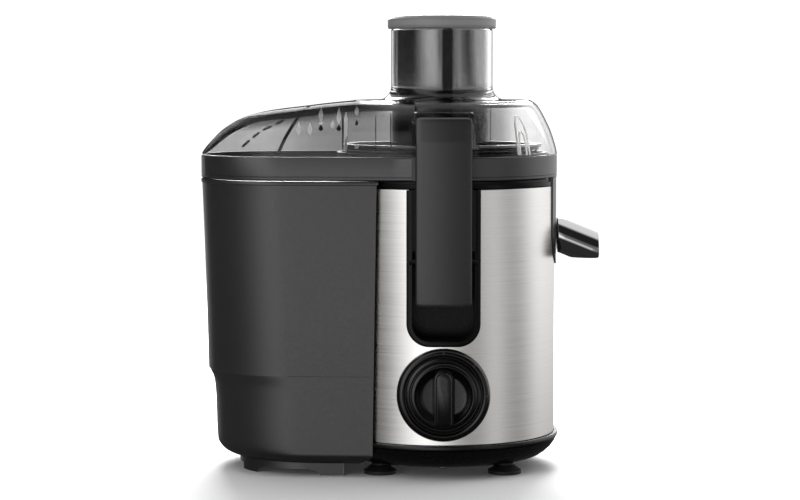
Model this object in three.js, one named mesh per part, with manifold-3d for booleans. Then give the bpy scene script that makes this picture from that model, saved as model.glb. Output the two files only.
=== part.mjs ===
// Centrifugal juicer: motor base, juice collector, sieve, clear lid, pusher, latches and pulp container.
// Millimetres, +Z up. The drive axis is x = y = 0 while modelling, with +X towards the spout and -Y
// towards the speed knob. The last group moves the model so that its origin is the bottom centre.
import * as THREE from 'three';
import { mergeVertices } from 'three/addons/utils/BufferGeometryUtils.js';
import Module from 'manifold-3d';

const wasm = await Module();
wasm.setup();

// ---- driving dimensions -------------------------------------------------------------------------
const GAP = 0.3; // clearance between neighbouring pieces

const BODY_R = 82.5; // outside of the steel wrap
const STEEL_T = 0.8;
const SHELL_T = 2.6; // moulded motor housing wall
const WRAP_BOTTOM = 25.5;
const WRAP_TOP = 204.7;
const FLANGE_TOP = 210.5; // black ring above the steel
const DECK_Z = 176; // underside of the housing deck
const DECK_T = 3;

const BASE_FLOOR_Z = 8;
const BASE_LIP_R = 85.2;
const FOOT_X = 44.5;
const FOOT_Y = 46;
const FOOT_R = 12;

const COLLAR_Z = 210.8; // underside of the juice collector's rim band
const COLLAR_TOP = 227.3;
const COLLAR_R = 84;
const BOWL_R = 76.5;
const BOWL_T = 2.5;
const BOWL_FLOOR_Z = 182;

const LID_Z = 227.6;
const LID_TOP = 266.5;
const LID_T = 2.5;
const BOSS_HALF = 22; // clear boss behind each latch
const BOSS_TOP = 259;
const CHUTE_R = 36.9;
const CHUTE_T = 3.5;
const CHUTE_TOP = 317.6;
const CHUTE_BOTTOM = 207;
const FLARE_R = 10;

const CAP_R = 39.4;
const CAP_Z = 318;
const CAP_TOP = 331;
const PUSHER_R = 32.5;
const PUSHER_BOTTOM = 212;
const SLIT_X = 4.2; // upright groove down the front of the pusher

const HOOD_BACK = -174; // far end of hood, collar and container
const HOOD_HALF = 73;
const HOOD_CORNER = 55;

const TUB_HALF_TOP = 72;
const TUB_HALF_BOTTOM = 70;
const TUB_TOP = 210.2;
const TUB_BOTTOM = 9.5;
const TUB_T = 2.3;
const TUB_NOTCH_R = 85.8; // concave front wall that wraps the motor base
const SKIRT_BACK = -147.5; // low skirt under the container, cut away to leave four small feet
const SKIRT_FRONT = -70.7;
const SKIRT_HALF = 57;
const SKIRT_CORNER = 42;
const SKIRT_GAP = 4.5; // how far the skirt clears the table between its feet

const LATCH_HALF = 19.65;
const LATCH_TOP = 255;
const LATCH_BOTTOM = 122.4;
const LATCH_IN = 82.5; // inner face, measured from the drive axis
const LATCH_OUT = 87.5;
const LATCH_BEND_Z = 238;
const PIVOT_Z = 154;
const PIVOT_Y = 79;
const PIN_R = 2.5;

const POCKET_HALF = 26; // outside of the visible border
const POCKET_BORDER = 4.3;
const POCKET_BOTTOM = 95;
const POCKET_CORNER = 16;
const POCKET_BACK = 53;
const POCKET_DEEP_TOP = 162;
const POCKET_T = 2;
const CHANNEL_Y = 81.6; // how far in the latch channels are cut

const SPOUT_R = 12.25;
const SPOUT_T = 1.5;
const SPOUT_SLOPE = THREE.MathUtils.degToRad(22);
const SPOUT_START = 84.5;
const SPOUT_END = 114.5;
const SPOUT_CUT_Z = 151.5;
const SPOUT_AXIS_Z = 168.8; // height of the tube axis at its inner end
const SLOT_HALF = 26; // U-shaped slot for the juice channel
const SLOT_BOTTOM = 146;

const GLAND_Z = 44; // cord inlet on the far side

const KNOB_Z = 61.2;
const BEZEL_R = 32.8;
const BEZEL_FACE = 87;
const DISH_R = 25.5;
const KNOB_R = 23;
const KNOB_FRONT = 92;
const GRIP_FRONT = 101;
const GRIP_W = 14.4;
const GRIP_H = 20.5;

const SIEVE_RIM_Z = 235;
const SIEVE_RIM_R = 72.5;
const SIEVE_FLOOR_R = 49;
const SIEVE_FLOOR_Z = 199;

const STATOR_Z = 108;
const STATOR_H = 40;
const STATOR_HALF = 30;
const ARMATURE_R = 21;
const SHAFT_R = 4;
const MOTOR_SEAT = 34; // half spacing of the motor's rubber mounts

const SHELL_R = BODY_R - STEEL_T - GAP; // outside of the motor housing behind the steel
const SCREW_PLACES = [[0, 62], [0, -62], [62, 0], [-62, 0]];
const CORNERS = [[1, 1], [1, -1], [-1, -1], [-1, 1]];

const FINE = 36; // segments of the large circles
const COARSE = 12; // segments of the small ones

// ---- finishes -----------------------------------------------------------------------------------
function finish(color, roughness, metalness = 0, opacity = 1) {
  const material = new THREE.MeshStandardMaterial({ color, roughness, metalness });
  material.opacity = opacity;
  material.transparent = opacity < 1;
  return material;
}
const DARK_GREY = finish(0x3b3a3b, 0.45);
const MID_GREY = finish(0x646466, 0.5);
const BLACK = finish(0x121212, 0.35);
const STEEL = finish(0xd8d6d2, 0.35, 1);
const CHROME = finish(0xe0e0e0, 0.08, 1);
const CLEAR = finish(0xe6ebe8, 0.05, 0, 0.35);
const SMOKED = finish(0x2c2c2e, 0.15);
const IRON = finish(0x6d6f72, 0.5, 0.9);
const COPPER = finish(0xb5652c, 0.4, 0.9);
const BRASS = finish(0xb08d45, 0.4, 0.9);
const RUBBER = finish(0x161616, 0.85);
const BOARD = finish(0x2f5a38, 0.6);

// ---- solids -------------------------------------------------------------------------------------
function signedVolume(position, index) {
  const [a, b, c] = [new THREE.Vector3(), new THREE.Vector3(), new THREE.Vector3()];
  let volume = 0;
  for (let i = 0; i < index.length; i += 3) {
    a.fromArray(position, 3 * index[i]);
    b.fromArray(position, 3 * index[i + 1]);
    c.fromArray(position, 3 * index[i + 2]);
    volume += a.dot(b.cross(c)) / 6;
  }
  return volume;
}

// A closed three.js geometry as a solid: shared vertices merged, slivers dropped, faces outward.
function solid(geometry) {
  const bare = geometry.clone();
  bare.deleteAttribute('normal');
  bare.deleteAttribute('uv');
  const merged = mergeVertices(bare, 1e-4);
  const position = new Float32Array(merged.attributes.position.array);
  const index = [];
  for (let i = 0; i < merged.index.count; i += 3) {
    const [a, b, c] = [0, 1, 2].map((k) => merged.index.getX(i + k));
    if (a !== b && b !== c && c !== a) index.push(a, b, c);
  }
  if (signedVolume(position, index) < 0) index.reverse();
  const mesh = new wasm.Mesh({ numProp: 3, vertProperties: position, triVerts: new Uint32Array(index) });
  return new wasm.Manifold(mesh);
}

function box(x0, x1, y0, y1, z0, z1) {
  const geometry = new THREE.BoxGeometry(x1 - x0, y1 - y0, z1 - z0);
  geometry.translate((x0 + x1) / 2, (y0 + y1) / 2, (z0 + z1) / 2);
  return solid(geometry);
}

// A profile of [radius, z] points turned round the drive axis, or round a parallel one at (x, y).
function turned(profile, segments = FINE, x = 0, y = 0) {
  const points = profile.map(([r, z]) => new THREE.Vector2(r, z));
  const geometry = new THREE.LatheGeometry(points, segments);
  geometry.rotateX(Math.PI / 2);
  geometry.translate(x, y, 0);
  return solid(geometry);
}

function disc(radius, z0, z1, segments = FINE, x = 0, y = 0) {
  return turned([[0, z0], [radius, z0], [radius, z1], [0, z1]], segments, x, y);
}

function tube(outer, inner, z0, z1, segments = FINE, x = 0, y = 0) {
  return turned([[inner, z0], [outer, z0], [outer, z1], [inner, z1], [inner, z0]], segments, x, y);
}

// A round bar along Y from y0 to y1, centred on (x, z).
function barY(radius, y0, y1, x, z, segments = COARSE) {
  const geometry = new THREE.CylinderGeometry(radius, radius, y1 - y0, segments);
  geometry.translate(x, (y0 + y1) / 2, z);
  return solid(geometry);
}

// A round bar along X from x0 to x1, centred on (y, z).
function barX(radius, x0, x1, y, z, segments = COARSE) {
  const geometry = new THREE.CylinderGeometry(radius, radius, x1 - x0, segments);
  geometry.rotateZ(Math.PI / 2);
  geometry.translate((x0 + x1) / 2, y, z);
  return solid(geometry);
}

// A flat outline: in the XY plane lifted along Z, in XZ pushed along Y, or in YZ pushed along X.
const AXES = {
  xy: [[1, 0, 0], [0, 1, 0], [0, 0, 1]],
  xz: [[1, 0, 0], [0, 0, 1], [0, 1, 0]],
  yz: [[0, 1, 0], [0, 0, 1], [1, 0, 0]],
};
function plate(shape, plane, from, to, curveSegments = 5) {
  const geometry = new THREE.ExtrudeGeometry(shape, { depth: to - from, bevelEnabled: false, curveSegments });
  geometry.translate(0, 0, from);
  const [u, v, w] = AXES[plane].map((axis) => new THREE.Vector3(...axis));
  geometry.applyMatrix4(new THREE.Matrix4().makeBasis(u, v, w));
  return solid(geometry);
}

// Rings with equal numbers of points, joined into one closed skin with a fan at each end.
function loft(rings) {
  const count = rings[0].length;
  const position = rings.flat(2);
  const index = [];
  for (let r = 0; r + 1 < rings.length; r += 1) {
    for (let i = 0; i < count; i += 1) {
      const [a, b] = [r * count + i, r * count + ((i + 1) % count)];
      index.push(a, b, b + count, a, b + count, a + count);
    }
  }
  const last = (rings.length - 1) * count;
  for (let i = 1; i + 1 < count; i += 1) {
    index.push(0, i + 1, i);
    index.push(last, last + i, last + i + 1);
  }
  const geometry = new THREE.BufferGeometry();
  geometry.setAttribute('position', new THREE.BufferAttribute(new Float32Array(position), 3));
  geometry.setIndex(index);
  return solid(geometry);
}

const union = (...solids) => solids.reduce((sum, next) => sum.add(next));
const cut = (body, ...tools) => tools.reduce((rest, tool) => rest.subtract(tool), body);

function toGeometry(manifold) {
  const mesh = manifold.getMesh();
  const geometry = new THREE.BufferGeometry();
  geometry.setAttribute('position', new THREE.BufferAttribute(mesh.vertProperties, 3));
  geometry.setIndex(new THREE.BufferAttribute(mesh.triVerts, 1));
  return geometry;
}

const model = new THREE.Group();
function add(name, manifold, material, place) {
  const mesh = new THREE.Mesh(toGeometry(manifold), material.clone());
  mesh.name = name;
  if (place) mesh.position.set(...place);
  model.add(mesh);
}

// ---- outlines shared by several pieces ----------------------------------------------------------
// Plan of hood, collar and container: straight sides, rounded far corners, open end inside the body.
function tubPlan(back, half, corner, front = -20) {
  const shape = new THREE.Shape();
  shape.moveTo(front, -half);
  shape.lineTo(front, half);
  shape.lineTo(back + corner, half);
  shape.absarc(back + corner, half - corner, corner, Math.PI / 2, Math.PI, false);
  shape.lineTo(back, -half + corner);
  shape.absarc(back + corner, -half + corner, corner, Math.PI, 1.5 * Math.PI, false);
  shape.closePath();
  return shape;
}

// Front view of a latch pocket: straight sides down to rounded bottom corners.
function pocketShape(half, bottom, corner, top) {
  const shape = new THREE.Shape();
  shape.moveTo(half, top);
  shape.lineTo(-half, top);
  shape.lineTo(-half, bottom + corner);
  shape.absarc(-half + corner, bottom + corner, corner, Math.PI, 1.5 * Math.PI, false);
  shape.lineTo(half - corner, bottom);
  shape.absarc(half - corner, bottom + corner, corner, 1.5 * Math.PI, 2 * Math.PI, false);
  shape.closePath();
  return shape;
}

// Front view of the juice channel: a U with a half-round bottom.
function slotShape(inset, top) {
  const half = SLOT_HALF - inset;
  const shape = new THREE.Shape();
  shape.moveTo(half, top);
  shape.lineTo(-half, top);
  shape.absarc(0, SLOT_BOTTOM + SLOT_HALF, half, Math.PI, 2 * Math.PI, false);
  shape.closePath();
  return shape;
}

const POCKET_HOLE_INSET = 1.7; // how far the border overlaps the edge of the hole in the steel
const LATCH_SIDES = [
  { side: 'near', s: -1 },
  { side: 'far', s: 1 },
];

// Two distances from the drive axis on side s, in rising order.
const spanOn = (s, a, b) => [s * a, s * b].sort((p, q) => p - q);

// The hole for one latch pocket, right through the wall of the body.
function pocketHole(s) {
  const half = POCKET_HALF - POCKET_HOLE_INSET;
  const bottom = POCKET_BOTTOM + POCKET_HOLE_INSET;
  const shape = pocketShape(half, bottom, POCKET_CORNER - POCKET_HOLE_INSET, WRAP_TOP + 0.3);
  return plate(shape, 'xz', ...spanOn(s, 40, 95), 4);
}

// The channel in which one latch arm lies, cut out of rings and lid.
function latchChannel(s, z0, z1) {
  const half = LATCH_HALF + 2.6;
  return box(-half, half, ...spanOn(s, CHANNEL_Y, 95), z0, z1);
}

// ---- motor base ---------------------------------------------------------------------------------
function basePlate() {
  const outer = [[0, 8], [70, 8], [77.5, 11.5], [82.5, 17], [BASE_LIP_R, 24], [BASE_LIP_R, 25.2]];
  const inner = [
    [BODY_R - 4, 25.2], [BODY_R - 4.2, 22], [74, 15], [68, BASE_FLOOR_Z + 3], [0, BASE_FLOOR_Z + 3],
  ];
  const screwHoles = SCREW_PLACES.map(([x, y]) => disc(2.3, 0, 20, 12, x, y));
  return cut(turned([...outer, ...inner]), ...screwHoles);
}

function suctionFoot(x, y) {
  const top = BASE_FLOOR_Z - GAP;
  const profile = [
    [0, 2.2], [9, 1.6], [10.6, 0], [FOOT_R, 0], [FOOT_R, 2.8], [7.5, 5], [6.5, top], [0, top],
  ];
  return turned(profile, COARSE, x, y);
}

function baseScrew(x, y) {
  const head = BASE_FLOOR_Z - GAP;
  return turned([[0, head - 2], [4, head - 2], [4, head], [1.9, head], [1.9, 22], [0, 22]], 12, x, y);
}

function steelWrap() {
  const wrap = tube(BODY_R, BODY_R - STEEL_T, WRAP_BOTTOM, WRAP_TOP);
  const slot = plate(slotShape(0, WRAP_TOP + 9), 'yz', 40, 95);
  const knobHole = barY(15, -95, -60, 0, KNOB_Z, 32);
  const glandHole = barY(7.6, 60, 95, 0, GLAND_Z);
  return cut(wrap, slot, knobHole, glandHole, ...LATCH_SIDES.map(({ s }) => pocketHole(s)));
}

function motorHousing() {
  const inner = SHELL_R - SHELL_T;
  const profile = [
    [SHELL_R, WRAP_BOTTOM], [SHELL_R, WRAP_TOP + GAP], [BODY_R, WRAP_TOP + GAP], [BODY_R, FLANGE_TOP],
    [inner, FLANGE_TOP], [inner, DECK_Z + DECK_T], [12, DECK_Z + DECK_T], [12, DECK_Z], [inner, DECK_Z],
    [inner, WRAP_BOTTOM], [SHELL_R, WRAP_BOTTOM],
  ];
  const trunk = plate(slotShape(-2, DECK_Z + 1), 'yz', 54, 90).intersect(disc(SHELL_R, 100, 200));
  const slot = plate(slotShape(0, FLANGE_TOP + 9), 'yz', 56, 95);
  const knobHole = barY(15, -95, -60, 0, KNOB_Z, 32);
  const glandHole = barY(7.6, 60, 95, 0, GLAND_Z);
  const channels = LATCH_SIDES.map(({ s }) => latchChannel(s, WRAP_TOP - 1, FLANGE_TOP + 1));
  const wall = cut(disc(95, 0, 300), disc(inner - 0.1, 0, 300));
  const holes = LATCH_SIDES.map(({ s }) => pocketHole(s).intersect(wall));
  return cut(union(turned(profile), trunk), slot, knobHole, glandHole, ...channels, ...holes);
}

// A moulded tray with a visible border. Deep below the pivot, where the arm's tail swings in,
// and shallow above it, outside the juice collector's bowl.
function latchPocket(s) {
  const shellHalf = POCKET_HALF - POCKET_HOLE_INSET - GAP;
  const shellBottom = POCKET_BOTTOM + POCKET_HOLE_INSET + GAP;
  const half = POCKET_HALF - POCKET_BORDER;
  const bottom = POCKET_BOTTOM + POCKET_BORDER;
  const front = BODY_R + 1.6;
  const pushed = (shape, y0, y1) => plate(shape, 'xz', ...spanOn(s, y0, y1), 5);
  const slab = (z0, z1, y0, y1) => box(-60, 60, ...spanOn(s, y0, y1), z0, z1);

  const rim = cut(disc(front, 0, WRAP_TOP), disc(BODY_R + GAP, 0, 300));
  const borderShape = pocketShape(POCKET_HALF, POCKET_BOTTOM, POCKET_CORNER, WRAP_TOP);
  const border = pushed(borderShape, 60, 90).intersect(rim);
  const shellShape = pocketShape(shellHalf, shellBottom, POCKET_CORNER - 2, WRAP_TOP);
  const shell = pushed(shellShape, POCKET_BACK, 90).intersect(disc(front, 0, 300));
  const outside = cut(union(border, shell), slab(POCKET_DEEP_TOP + POCKET_T, 300, 0, 79.3));
  const hollow = pushed(pocketShape(half, bottom, POCKET_CORNER - POCKET_BORDER, 300), 55, 95);
  const shallowBack = slab(POCKET_DEEP_TOP, 300, 0, 81.3);
  const pin = barX(PIN_R + GAP, -60, 60, s * PIVOT_Y, PIVOT_Z, 12);
  return cut(outside, cut(hollow, shallowBack), pin);
}

function latchPin(s) {
  const half = POCKET_HALF - POCKET_HOLE_INSET - GAP - 0.1;
  return barX(PIN_R, -half, half, s * PIVOT_Y, PIVOT_Z, 12);
}

// The latch arm: a plate with a rounded foot, a lip bent in at the top, and two ears on the pin.
function latchArm(s) {
  const side = new THREE.Shape();
  side.moveTo(LATCH_IN, LATCH_BOTTOM);
  side.lineTo(LATCH_OUT - 2, LATCH_BOTTOM);
  side.quadraticCurveTo(LATCH_OUT, LATCH_BOTTOM, LATCH_OUT, LATCH_BOTTOM + 4);
  side.lineTo(LATCH_OUT, LATCH_BEND_Z);
  side.quadraticCurveTo(LATCH_OUT, LATCH_TOP - 5, LATCH_OUT - 3, LATCH_TOP);
  side.lineTo(LATCH_IN, LATCH_TOP);
  side.closePath();
  const ears = new THREE.Shape();
  ears.moveTo(LATCH_IN + 1, PIVOT_Z - 8);
  ears.lineTo(LATCH_IN + 1, PIVOT_Z + 8);
  ears.absarc(PIVOT_Y, PIVOT_Z, 4.6, Math.PI / 2, 1.5 * Math.PI, false);
  ears.closePath();
  const pin = barX(PIN_R + GAP, -60, 60, PIVOT_Y, PIVOT_Z, 12);
  const arm = plate(side, 'yz', -LATCH_HALF, LATCH_HALF, 4);
  const earPair = [-1, 1].map((k) => plate(ears, 'yz', k * 14 - 2, k * 14 + 2, 6));
  const whole = cut(union(arm, ...earPair), pin);
  return s > 0 ? whole : whole.mirror([0, 1, 0]);
}

// ---- speed control ------------------------------------------------------------------------------
function knobBezel() {
  const around = (radius, y0, y1) => barY(radius, -y1, -y0, 0, KNOB_Z, 32);
  const body = disc(BODY_R + GAP, 0, 120);
  const ring = cut(around(BEZEL_R, 70, BEZEL_FACE), body, around(DISH_R, 84.6, 99));
  const sleeve = around(14.2, 72, 85);
  return cut(union(ring, sleeve), around(4, 60, 99));
}

function knobBody() {
  const around = (radius, y0, y1) => barY(radius, -y1, -y0, 0, KNOB_Z, 32);
  const grip = box(-GRIP_W / 2, GRIP_W / 2, -GRIP_FRONT, -86, KNOB_Z - GRIP_H, KNOB_Z + GRIP_H)
    .intersect(around(GRIP_H, 80, 110));
  const skirt = around(KNOB_R, 85, KNOB_FRONT);
  const dish = cut(around(19, 88.5, 110), box(-GRIP_W / 2, GRIP_W / 2, -120, -80, 0, 150));
  return cut(union(skirt, grip), dish, around(3.8, 60, 90));
}

const knobShaft = () => barY(3.3, -89.5, -64, 0, KNOB_Z, 16);
const speedSwitch = () => box(-15, 15, -63.5, -44, KNOB_Z - 14, KNOB_Z + 14);

// ---- juice collector and spout ------------------------------------------------------------------
function juiceCollector() {
  const inner = BOWL_R - BOWL_T;
  const rim = union(
    disc(COLLAR_R, COLLAR_Z, COLLAR_TOP),
    plate(tubPlan(HOOD_BACK - 1, HOOD_HALF, HOOD_CORNER), 'xy', COLLAR_Z, COLLAR_TOP, 9),
  );
  const passage = cut(
    plate(tubPlan(HOOD_BACK + 2.5, HOOD_HALF - 3, HOOD_CORNER - 3), 'xy', COLLAR_Z - 1, COLLAR_TOP + 1, 9),
    disc(BOWL_R, 0, 300),
  );
  const bowl = disc(BOWL_R, BOWL_FLOOR_Z, COLLAR_TOP + 1.6);
  const channel = plate(slotShape(1.2, COLLAR_Z + 1), 'yz', 57, 95).intersect(disc(83.6, 100, 300));
  const cavity = disc(inner, BOWL_FLOOR_Z + BOWL_T, 300);
  const neck = tube(16, 14, BOWL_FLOOR_Z, 196.5, 32);
  const duct = plate(slotShape(3.4, 300), 'yz', 59.2, 95)
    .intersect(cut(disc(81.2, 100, BOWL_FLOOR_Z + BOWL_T + 1), box(-90, 90, -90, 90, 0, 100)))
    .intersect(cut(disc(81.2, 100, 300), cut(disc(95, BOWL_FLOOR_Z, 300), disc(inner, 0, 400))));
  const outlet = barX(8.5, 75, 95, 0, SPOUT_AXIS_Z - 0.5, 16);
  const channels = LATCH_SIDES.map(({ s }) => latchChannel(s, COLLAR_Z - 1, COLLAR_TOP + 1));
  const hubHole = disc(14, 0, 300, 32);
  const body = cut(union(rim, bowl, channel), passage, cavity, hubHole, duct, outlet, ...channels);
  return union(body, neck);
}

// A sloping tube with an upright inner and outer end, and a level cut that opens it downward.
function spoutTube() {
  const length = 70;
  const profile = [
    [SPOUT_R - SPOUT_T, -length], [SPOUT_R, -length], [SPOUT_R, length], [SPOUT_R - SPOUT_T, length],
    [SPOUT_R - SPOUT_T, -length],
  ];
  const middle = SPOUT_AXIS_Z;
  const pipe = turned(profile, 32)
    .rotate([0, 90 + THREE.MathUtils.radToDeg(SPOUT_SLOPE), 0])
    .translate([SPOUT_START, 0, middle]);
  return pipe.intersect(box(SPOUT_START, SPOUT_END, -30, 30, SPOUT_CUT_Z, 200));
}

// ---- sieve --------------------------------------------------------------------------------------
function sieveMesh() {
  const bottom = SIEVE_FLOOR_Z + 4.2;
  const top = SIEVE_RIM_Z - 4.5;
  const wall = 0.9;
  return turned([
    [SIEVE_FLOOR_R, bottom], [SIEVE_FLOOR_R + wall, bottom], [SIEVE_RIM_R - 2.5, top],
    [SIEVE_RIM_R - 2.5 - wall, top], [SIEVE_FLOOR_R, bottom],
  ]);
}

function sieveRing() {
  const z = SIEVE_RIM_Z;
  const out = SIEVE_RIM_R;
  return turned([
    [out - 4.5, z - 4.2], [out - 2, z - 4.2], [out, z - 2], [out, z], [out - 4.5, z], [out - 4.5, z - 4.2],
  ]);
}

function sieveHub() {
  const z = SIEVE_FLOOR_Z;
  const rim = SIEVE_FLOOR_R + 2;
  const profile = [
    [0, z - 13], [12.5, z - 13], [12.5, z], [rim, z], [rim, z + 3.8], [44, z + 3.8], [44, z + 3], [0, z + 3],
  ];
  return cut(turned(profile), disc(9.7, z - 20, z - 1, 6));
}

// The grater: a steel disc with raised teeth in rings.
function graterDisc() {
  const z = SIEVE_FLOOR_Z + 3.3;
  const teeth = [];
  for (const [ring, count] of [[14, 6], [24, 10], [34, 14]]) {
    for (let i = 0; i < count; i += 1) {
      const angle = (2 * Math.PI * i) / count;
      teeth.push(new THREE.ConeGeometry(1.5, 2.4, 4).rotateX(Math.PI / 2)
        .translate(ring * Math.cos(angle), ring * Math.sin(angle), z + 2));
    }
  }
  return union(disc(43, z, z + 1, 36), ...teeth.map(solid));
}

// ---- lid and pusher -----------------------------------------------------------------------------
// Side view of the hood's top edge, from the flat by the chute to the far end.
const HOOD_EDGE = new THREE.SplineCurve([
  new THREE.Vector2(-20, LID_TOP),
  new THREE.Vector2(-46, 266.1),
  new THREE.Vector2(-97.7, 262.2),
  new THREE.Vector2(-134.8, 256.8),
  new THREE.Vector2(-154.4, 247.5),
  new THREE.Vector2(-166, 237),
  new THREE.Vector2(HOOD_BACK, LID_Z + 0.6),
]);

// One cross-section of the hood: upright sides, rounded shoulders and a level top.
function hoodSection(x, half, top, floor, shoulder) {
  const ring = [[x, half, floor]];
  for (const side of [1, -1]) {
    for (let i = 0; i <= 4; i += 1) {
      const angle = ((side > 0 ? i : 4 - i) * Math.PI) / 8;
      const y = side * (half - shoulder + shoulder * Math.cos(angle));
      ring.push([x, y, top - shoulder + shoulder * Math.sin(angle)]);
    }
  }
  ring.push([x, -half, floor]);
  return ring;
}

function hood(inset, floor) {
  const stations = HOOD_EDGE.getSpacedPoints(16);
  const corner = HOOD_CORNER;
  return loft(stations.map((point) => {
    const past = Math.max(0, HOOD_BACK + corner - point.x);
    const half = HOOD_HALF - corner + Math.sqrt(Math.max(0, corner ** 2 - past ** 2)) - inset;
    const top = Math.max(floor + 0.5, point.y - inset);
    const shoulder = Math.min(24, Math.max(0.3, (top - LID_Z) * 0.8));
    const x = Math.max(point.x, HOOD_BACK + inset);
    return hoodSection(x, half, top, floor, Math.min(shoulder, top - floor - 0.1));
  }));
}

function domeProfile(inset, floor) {
  return [
    [0, floor], [COLLAR_R - inset, floor], [COLLAR_R - inset, LID_Z], [82.3 - inset, 235],
    [77.9 - inset, 247.3], [70.1 - 0.8 * inset, 261.8 - 0.6 * inset], [63.9, LID_TOP - inset],
    [0, LID_TOP - inset],
  ];
}

// A clear boss on each side of the lid, on which the latch lip closes.
function latchBoss(s) {
  return box(-BOSS_HALF, BOSS_HALF, ...spanOn(s, 50, 83.8), LID_Z, BOSS_TOP);
}

function lidShell() {
  const outer = union(turned(domeProfile(0, LID_Z)), hood(0, LID_Z), latchBoss(1), latchBoss(-1));
  const inner = union(turned(domeProfile(LID_T, LID_Z - 5)), hood(LID_T, LID_Z - 5));
  const channels = LATCH_SIDES.map(({ s }) => latchChannel(s, LID_Z - 1, 300));
  const wallHalf = LATCH_HALF + 5;
  const walls = LATCH_SIDES.map(({ s }) => (
    box(-wallHalf, wallHalf, ...spanOn(s, CHANNEL_Y - LID_T, CHANNEL_Y), LID_Z, 250)
  ));
  const flare = [];
  for (let i = 0; i <= 4; i += 1) {
    const angle = (i * Math.PI) / 8;
    flare.push([CHUTE_R + FLARE_R * (1 - Math.sin(angle)), LID_TOP + FLARE_R * (1 - Math.cos(angle))]);
  }
  const foot = CHUTE_R - 0.9;
  const chute = turned([
    [0, CHUTE_BOTTOM], [foot, CHUTE_BOTTOM], [foot, LID_TOP - 1], [CHUTE_R + FLARE_R, LID_TOP - 1],
    ...flare, [CHUTE_R, CHUTE_TOP], [0, CHUTE_TOP],
  ]);
  const bore = disc(CHUTE_R - CHUTE_T, CHUTE_BOTTOM - 1, CHUTE_TOP + 1);
  return cut(union(cut(outer, inner, ...channels), ...walls, chute), bore);
}

function pusherCap() {
  const side = [[0, CAP_Z], [CAP_R - 0.6, CAP_Z], [CAP_R, CAP_Z + 1], [CAP_R, 325], [CAP_R - 1.2, 326.5]];
  const dome = [[CAP_R - 8, 329.2], [CAP_R - 18, 330.4], [0, CAP_TOP]];
  return turned([...side, ...dome]);
}

function pusherBody() {
  const top = CAP_Z - GAP;
  const wall = 2.4;
  const inner = PUSHER_R - wall;
  const cup = turned([
    [0, PUSHER_BOTTOM], [PUSHER_R - 2, PUSHER_BOTTOM], [PUSHER_R, PUSHER_BOTTOM + 2], [PUSHER_R, top],
    [inner, top], [inner, PUSHER_BOTTOM + wall], [0, PUSHER_BOTTOM + wall],
  ], 36);
  const groove = box(SLIT_X - 2.2, SLIT_X + 2.2, -PUSHER_R - 1, -PUSHER_R + 1.5, PUSHER_BOTTOM + 12, top + 1);
  return cut(cup, groove);
}

// ---- pulp container -----------------------------------------------------------------------------
// Side view of the container's back wall: far edge at each height, with a finger step low down.
const TUB_BACK = [
  [TUB_BOTTOM, -151], [12.5, -158], [20.5, -163], [52, -164.2], [62.5, -165.2], [69.4, -167.6],
  [72.5, -169.1], [105, -170.1], [156, -171.5], [TUB_TOP, -173.4],
];

function tubRing(back, half, z, corner) {
  const ring = [[-25, -half, z], [-25, half, z]];
  for (const [turn, side] of [[Math.PI / 2, 1], [Math.PI, -1]]) {
    for (let i = 0; i <= 8; i += 1) {
      const angle = turn + (i * Math.PI) / 16;
      const x = back + corner + corner * Math.cos(angle);
      ring.push([x, side * (half - corner) + corner * Math.sin(angle), z]);
    }
  }
  return ring;
}

function tub(inset) {
  return loft(TUB_BACK.map(([z, back], i) => {
    const level = i === 0 ? z + inset : z + (i === TUB_BACK.length - 1 ? inset : 0);
    const pinch = i === 0 ? 7 : i === 1 ? 2.5 : 0;
    const along = (z - TUB_BOTTOM) / (TUB_TOP - TUB_BOTTOM);
    const half = THREE.MathUtils.lerp(TUB_HALF_BOTTOM, TUB_HALF_TOP, along) - inset - pinch;
    return tubRing(back + inset, half, i === 1 && inset ? z + 1.2 : level, HOOD_CORNER - 2 - inset);
  }));
}

function pulpContainer() {
  const body = cut(tub(0), disc(TUB_NOTCH_R, 0, 300));
  const hollow = cut(tub(TUB_T), disc(TUB_NOTCH_R + TUB_T, 0, 300));
  const skirtPlan = (inset) => (
    tubPlan(SKIRT_BACK + inset, SKIRT_HALF - inset, SKIRT_CORNER - inset, SKIRT_FRONT - inset)
  );
  const skirt = cut(
    plate(skirtPlan(0), 'xy', 0, TUB_BOTTOM + 0.8, 7),
    plate(skirtPlan(2.5), 'xy', -1, TUB_BOTTOM, 7),
    box(SKIRT_BACK + 12.8, SKIRT_FRONT - 17.5, -80, 80, -1, SKIRT_GAP),
    box(-160, -60, -26, 26, -1, SKIRT_GAP),
    disc(TUB_NOTCH_R, 0, 300),
  );
  return cut(union(body, skirt), hollow);
}

// ---- motor --------------------------------------------------------------------------------------
function statorCore() {
  const half = STATOR_HALF;
  const corner = 6;
  const shape = new THREE.Shape();
  shape.moveTo(half - corner, -half);
  shape.lineTo(half, -half + corner);
  shape.lineTo(half, half - corner);
  shape.lineTo(half - corner, half);
  shape.lineTo(-half + corner, half);
  shape.lineTo(-half, half - corner);
  shape.lineTo(-half, -half + corner);
  shape.lineTo(-half + corner, -half);
  shape.closePath();
  const top = STATOR_Z + STATOR_H;
  const bore = disc(ARMATURE_R + 0.8, STATOR_Z - 1, top + 1, 24);
  const slots = [-1, 1].map((k) => box(...spanOn(k, 12, 25), -14, 14, STATOR_Z - 1, top + 1));
  return cut(plate(shape, 'xy', STATOR_Z, top), bore, ...slots);
}

// One field winding: the bundle that shows above and below the core and runs through its slot.
function fieldCoil(s) {
  const high = STATOR_Z + STATOR_H;
  const run = box(...spanOn(s, 22.4, 24.6), -13, 13, STATOR_Z - 9, high + 9);
  const ends = [STATOR_Z - 9, high + 1].map((z) => box(...spanOn(s, 18, 29), -16, 16, z, z + 8));
  return union(run, ...ends);
}

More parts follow.
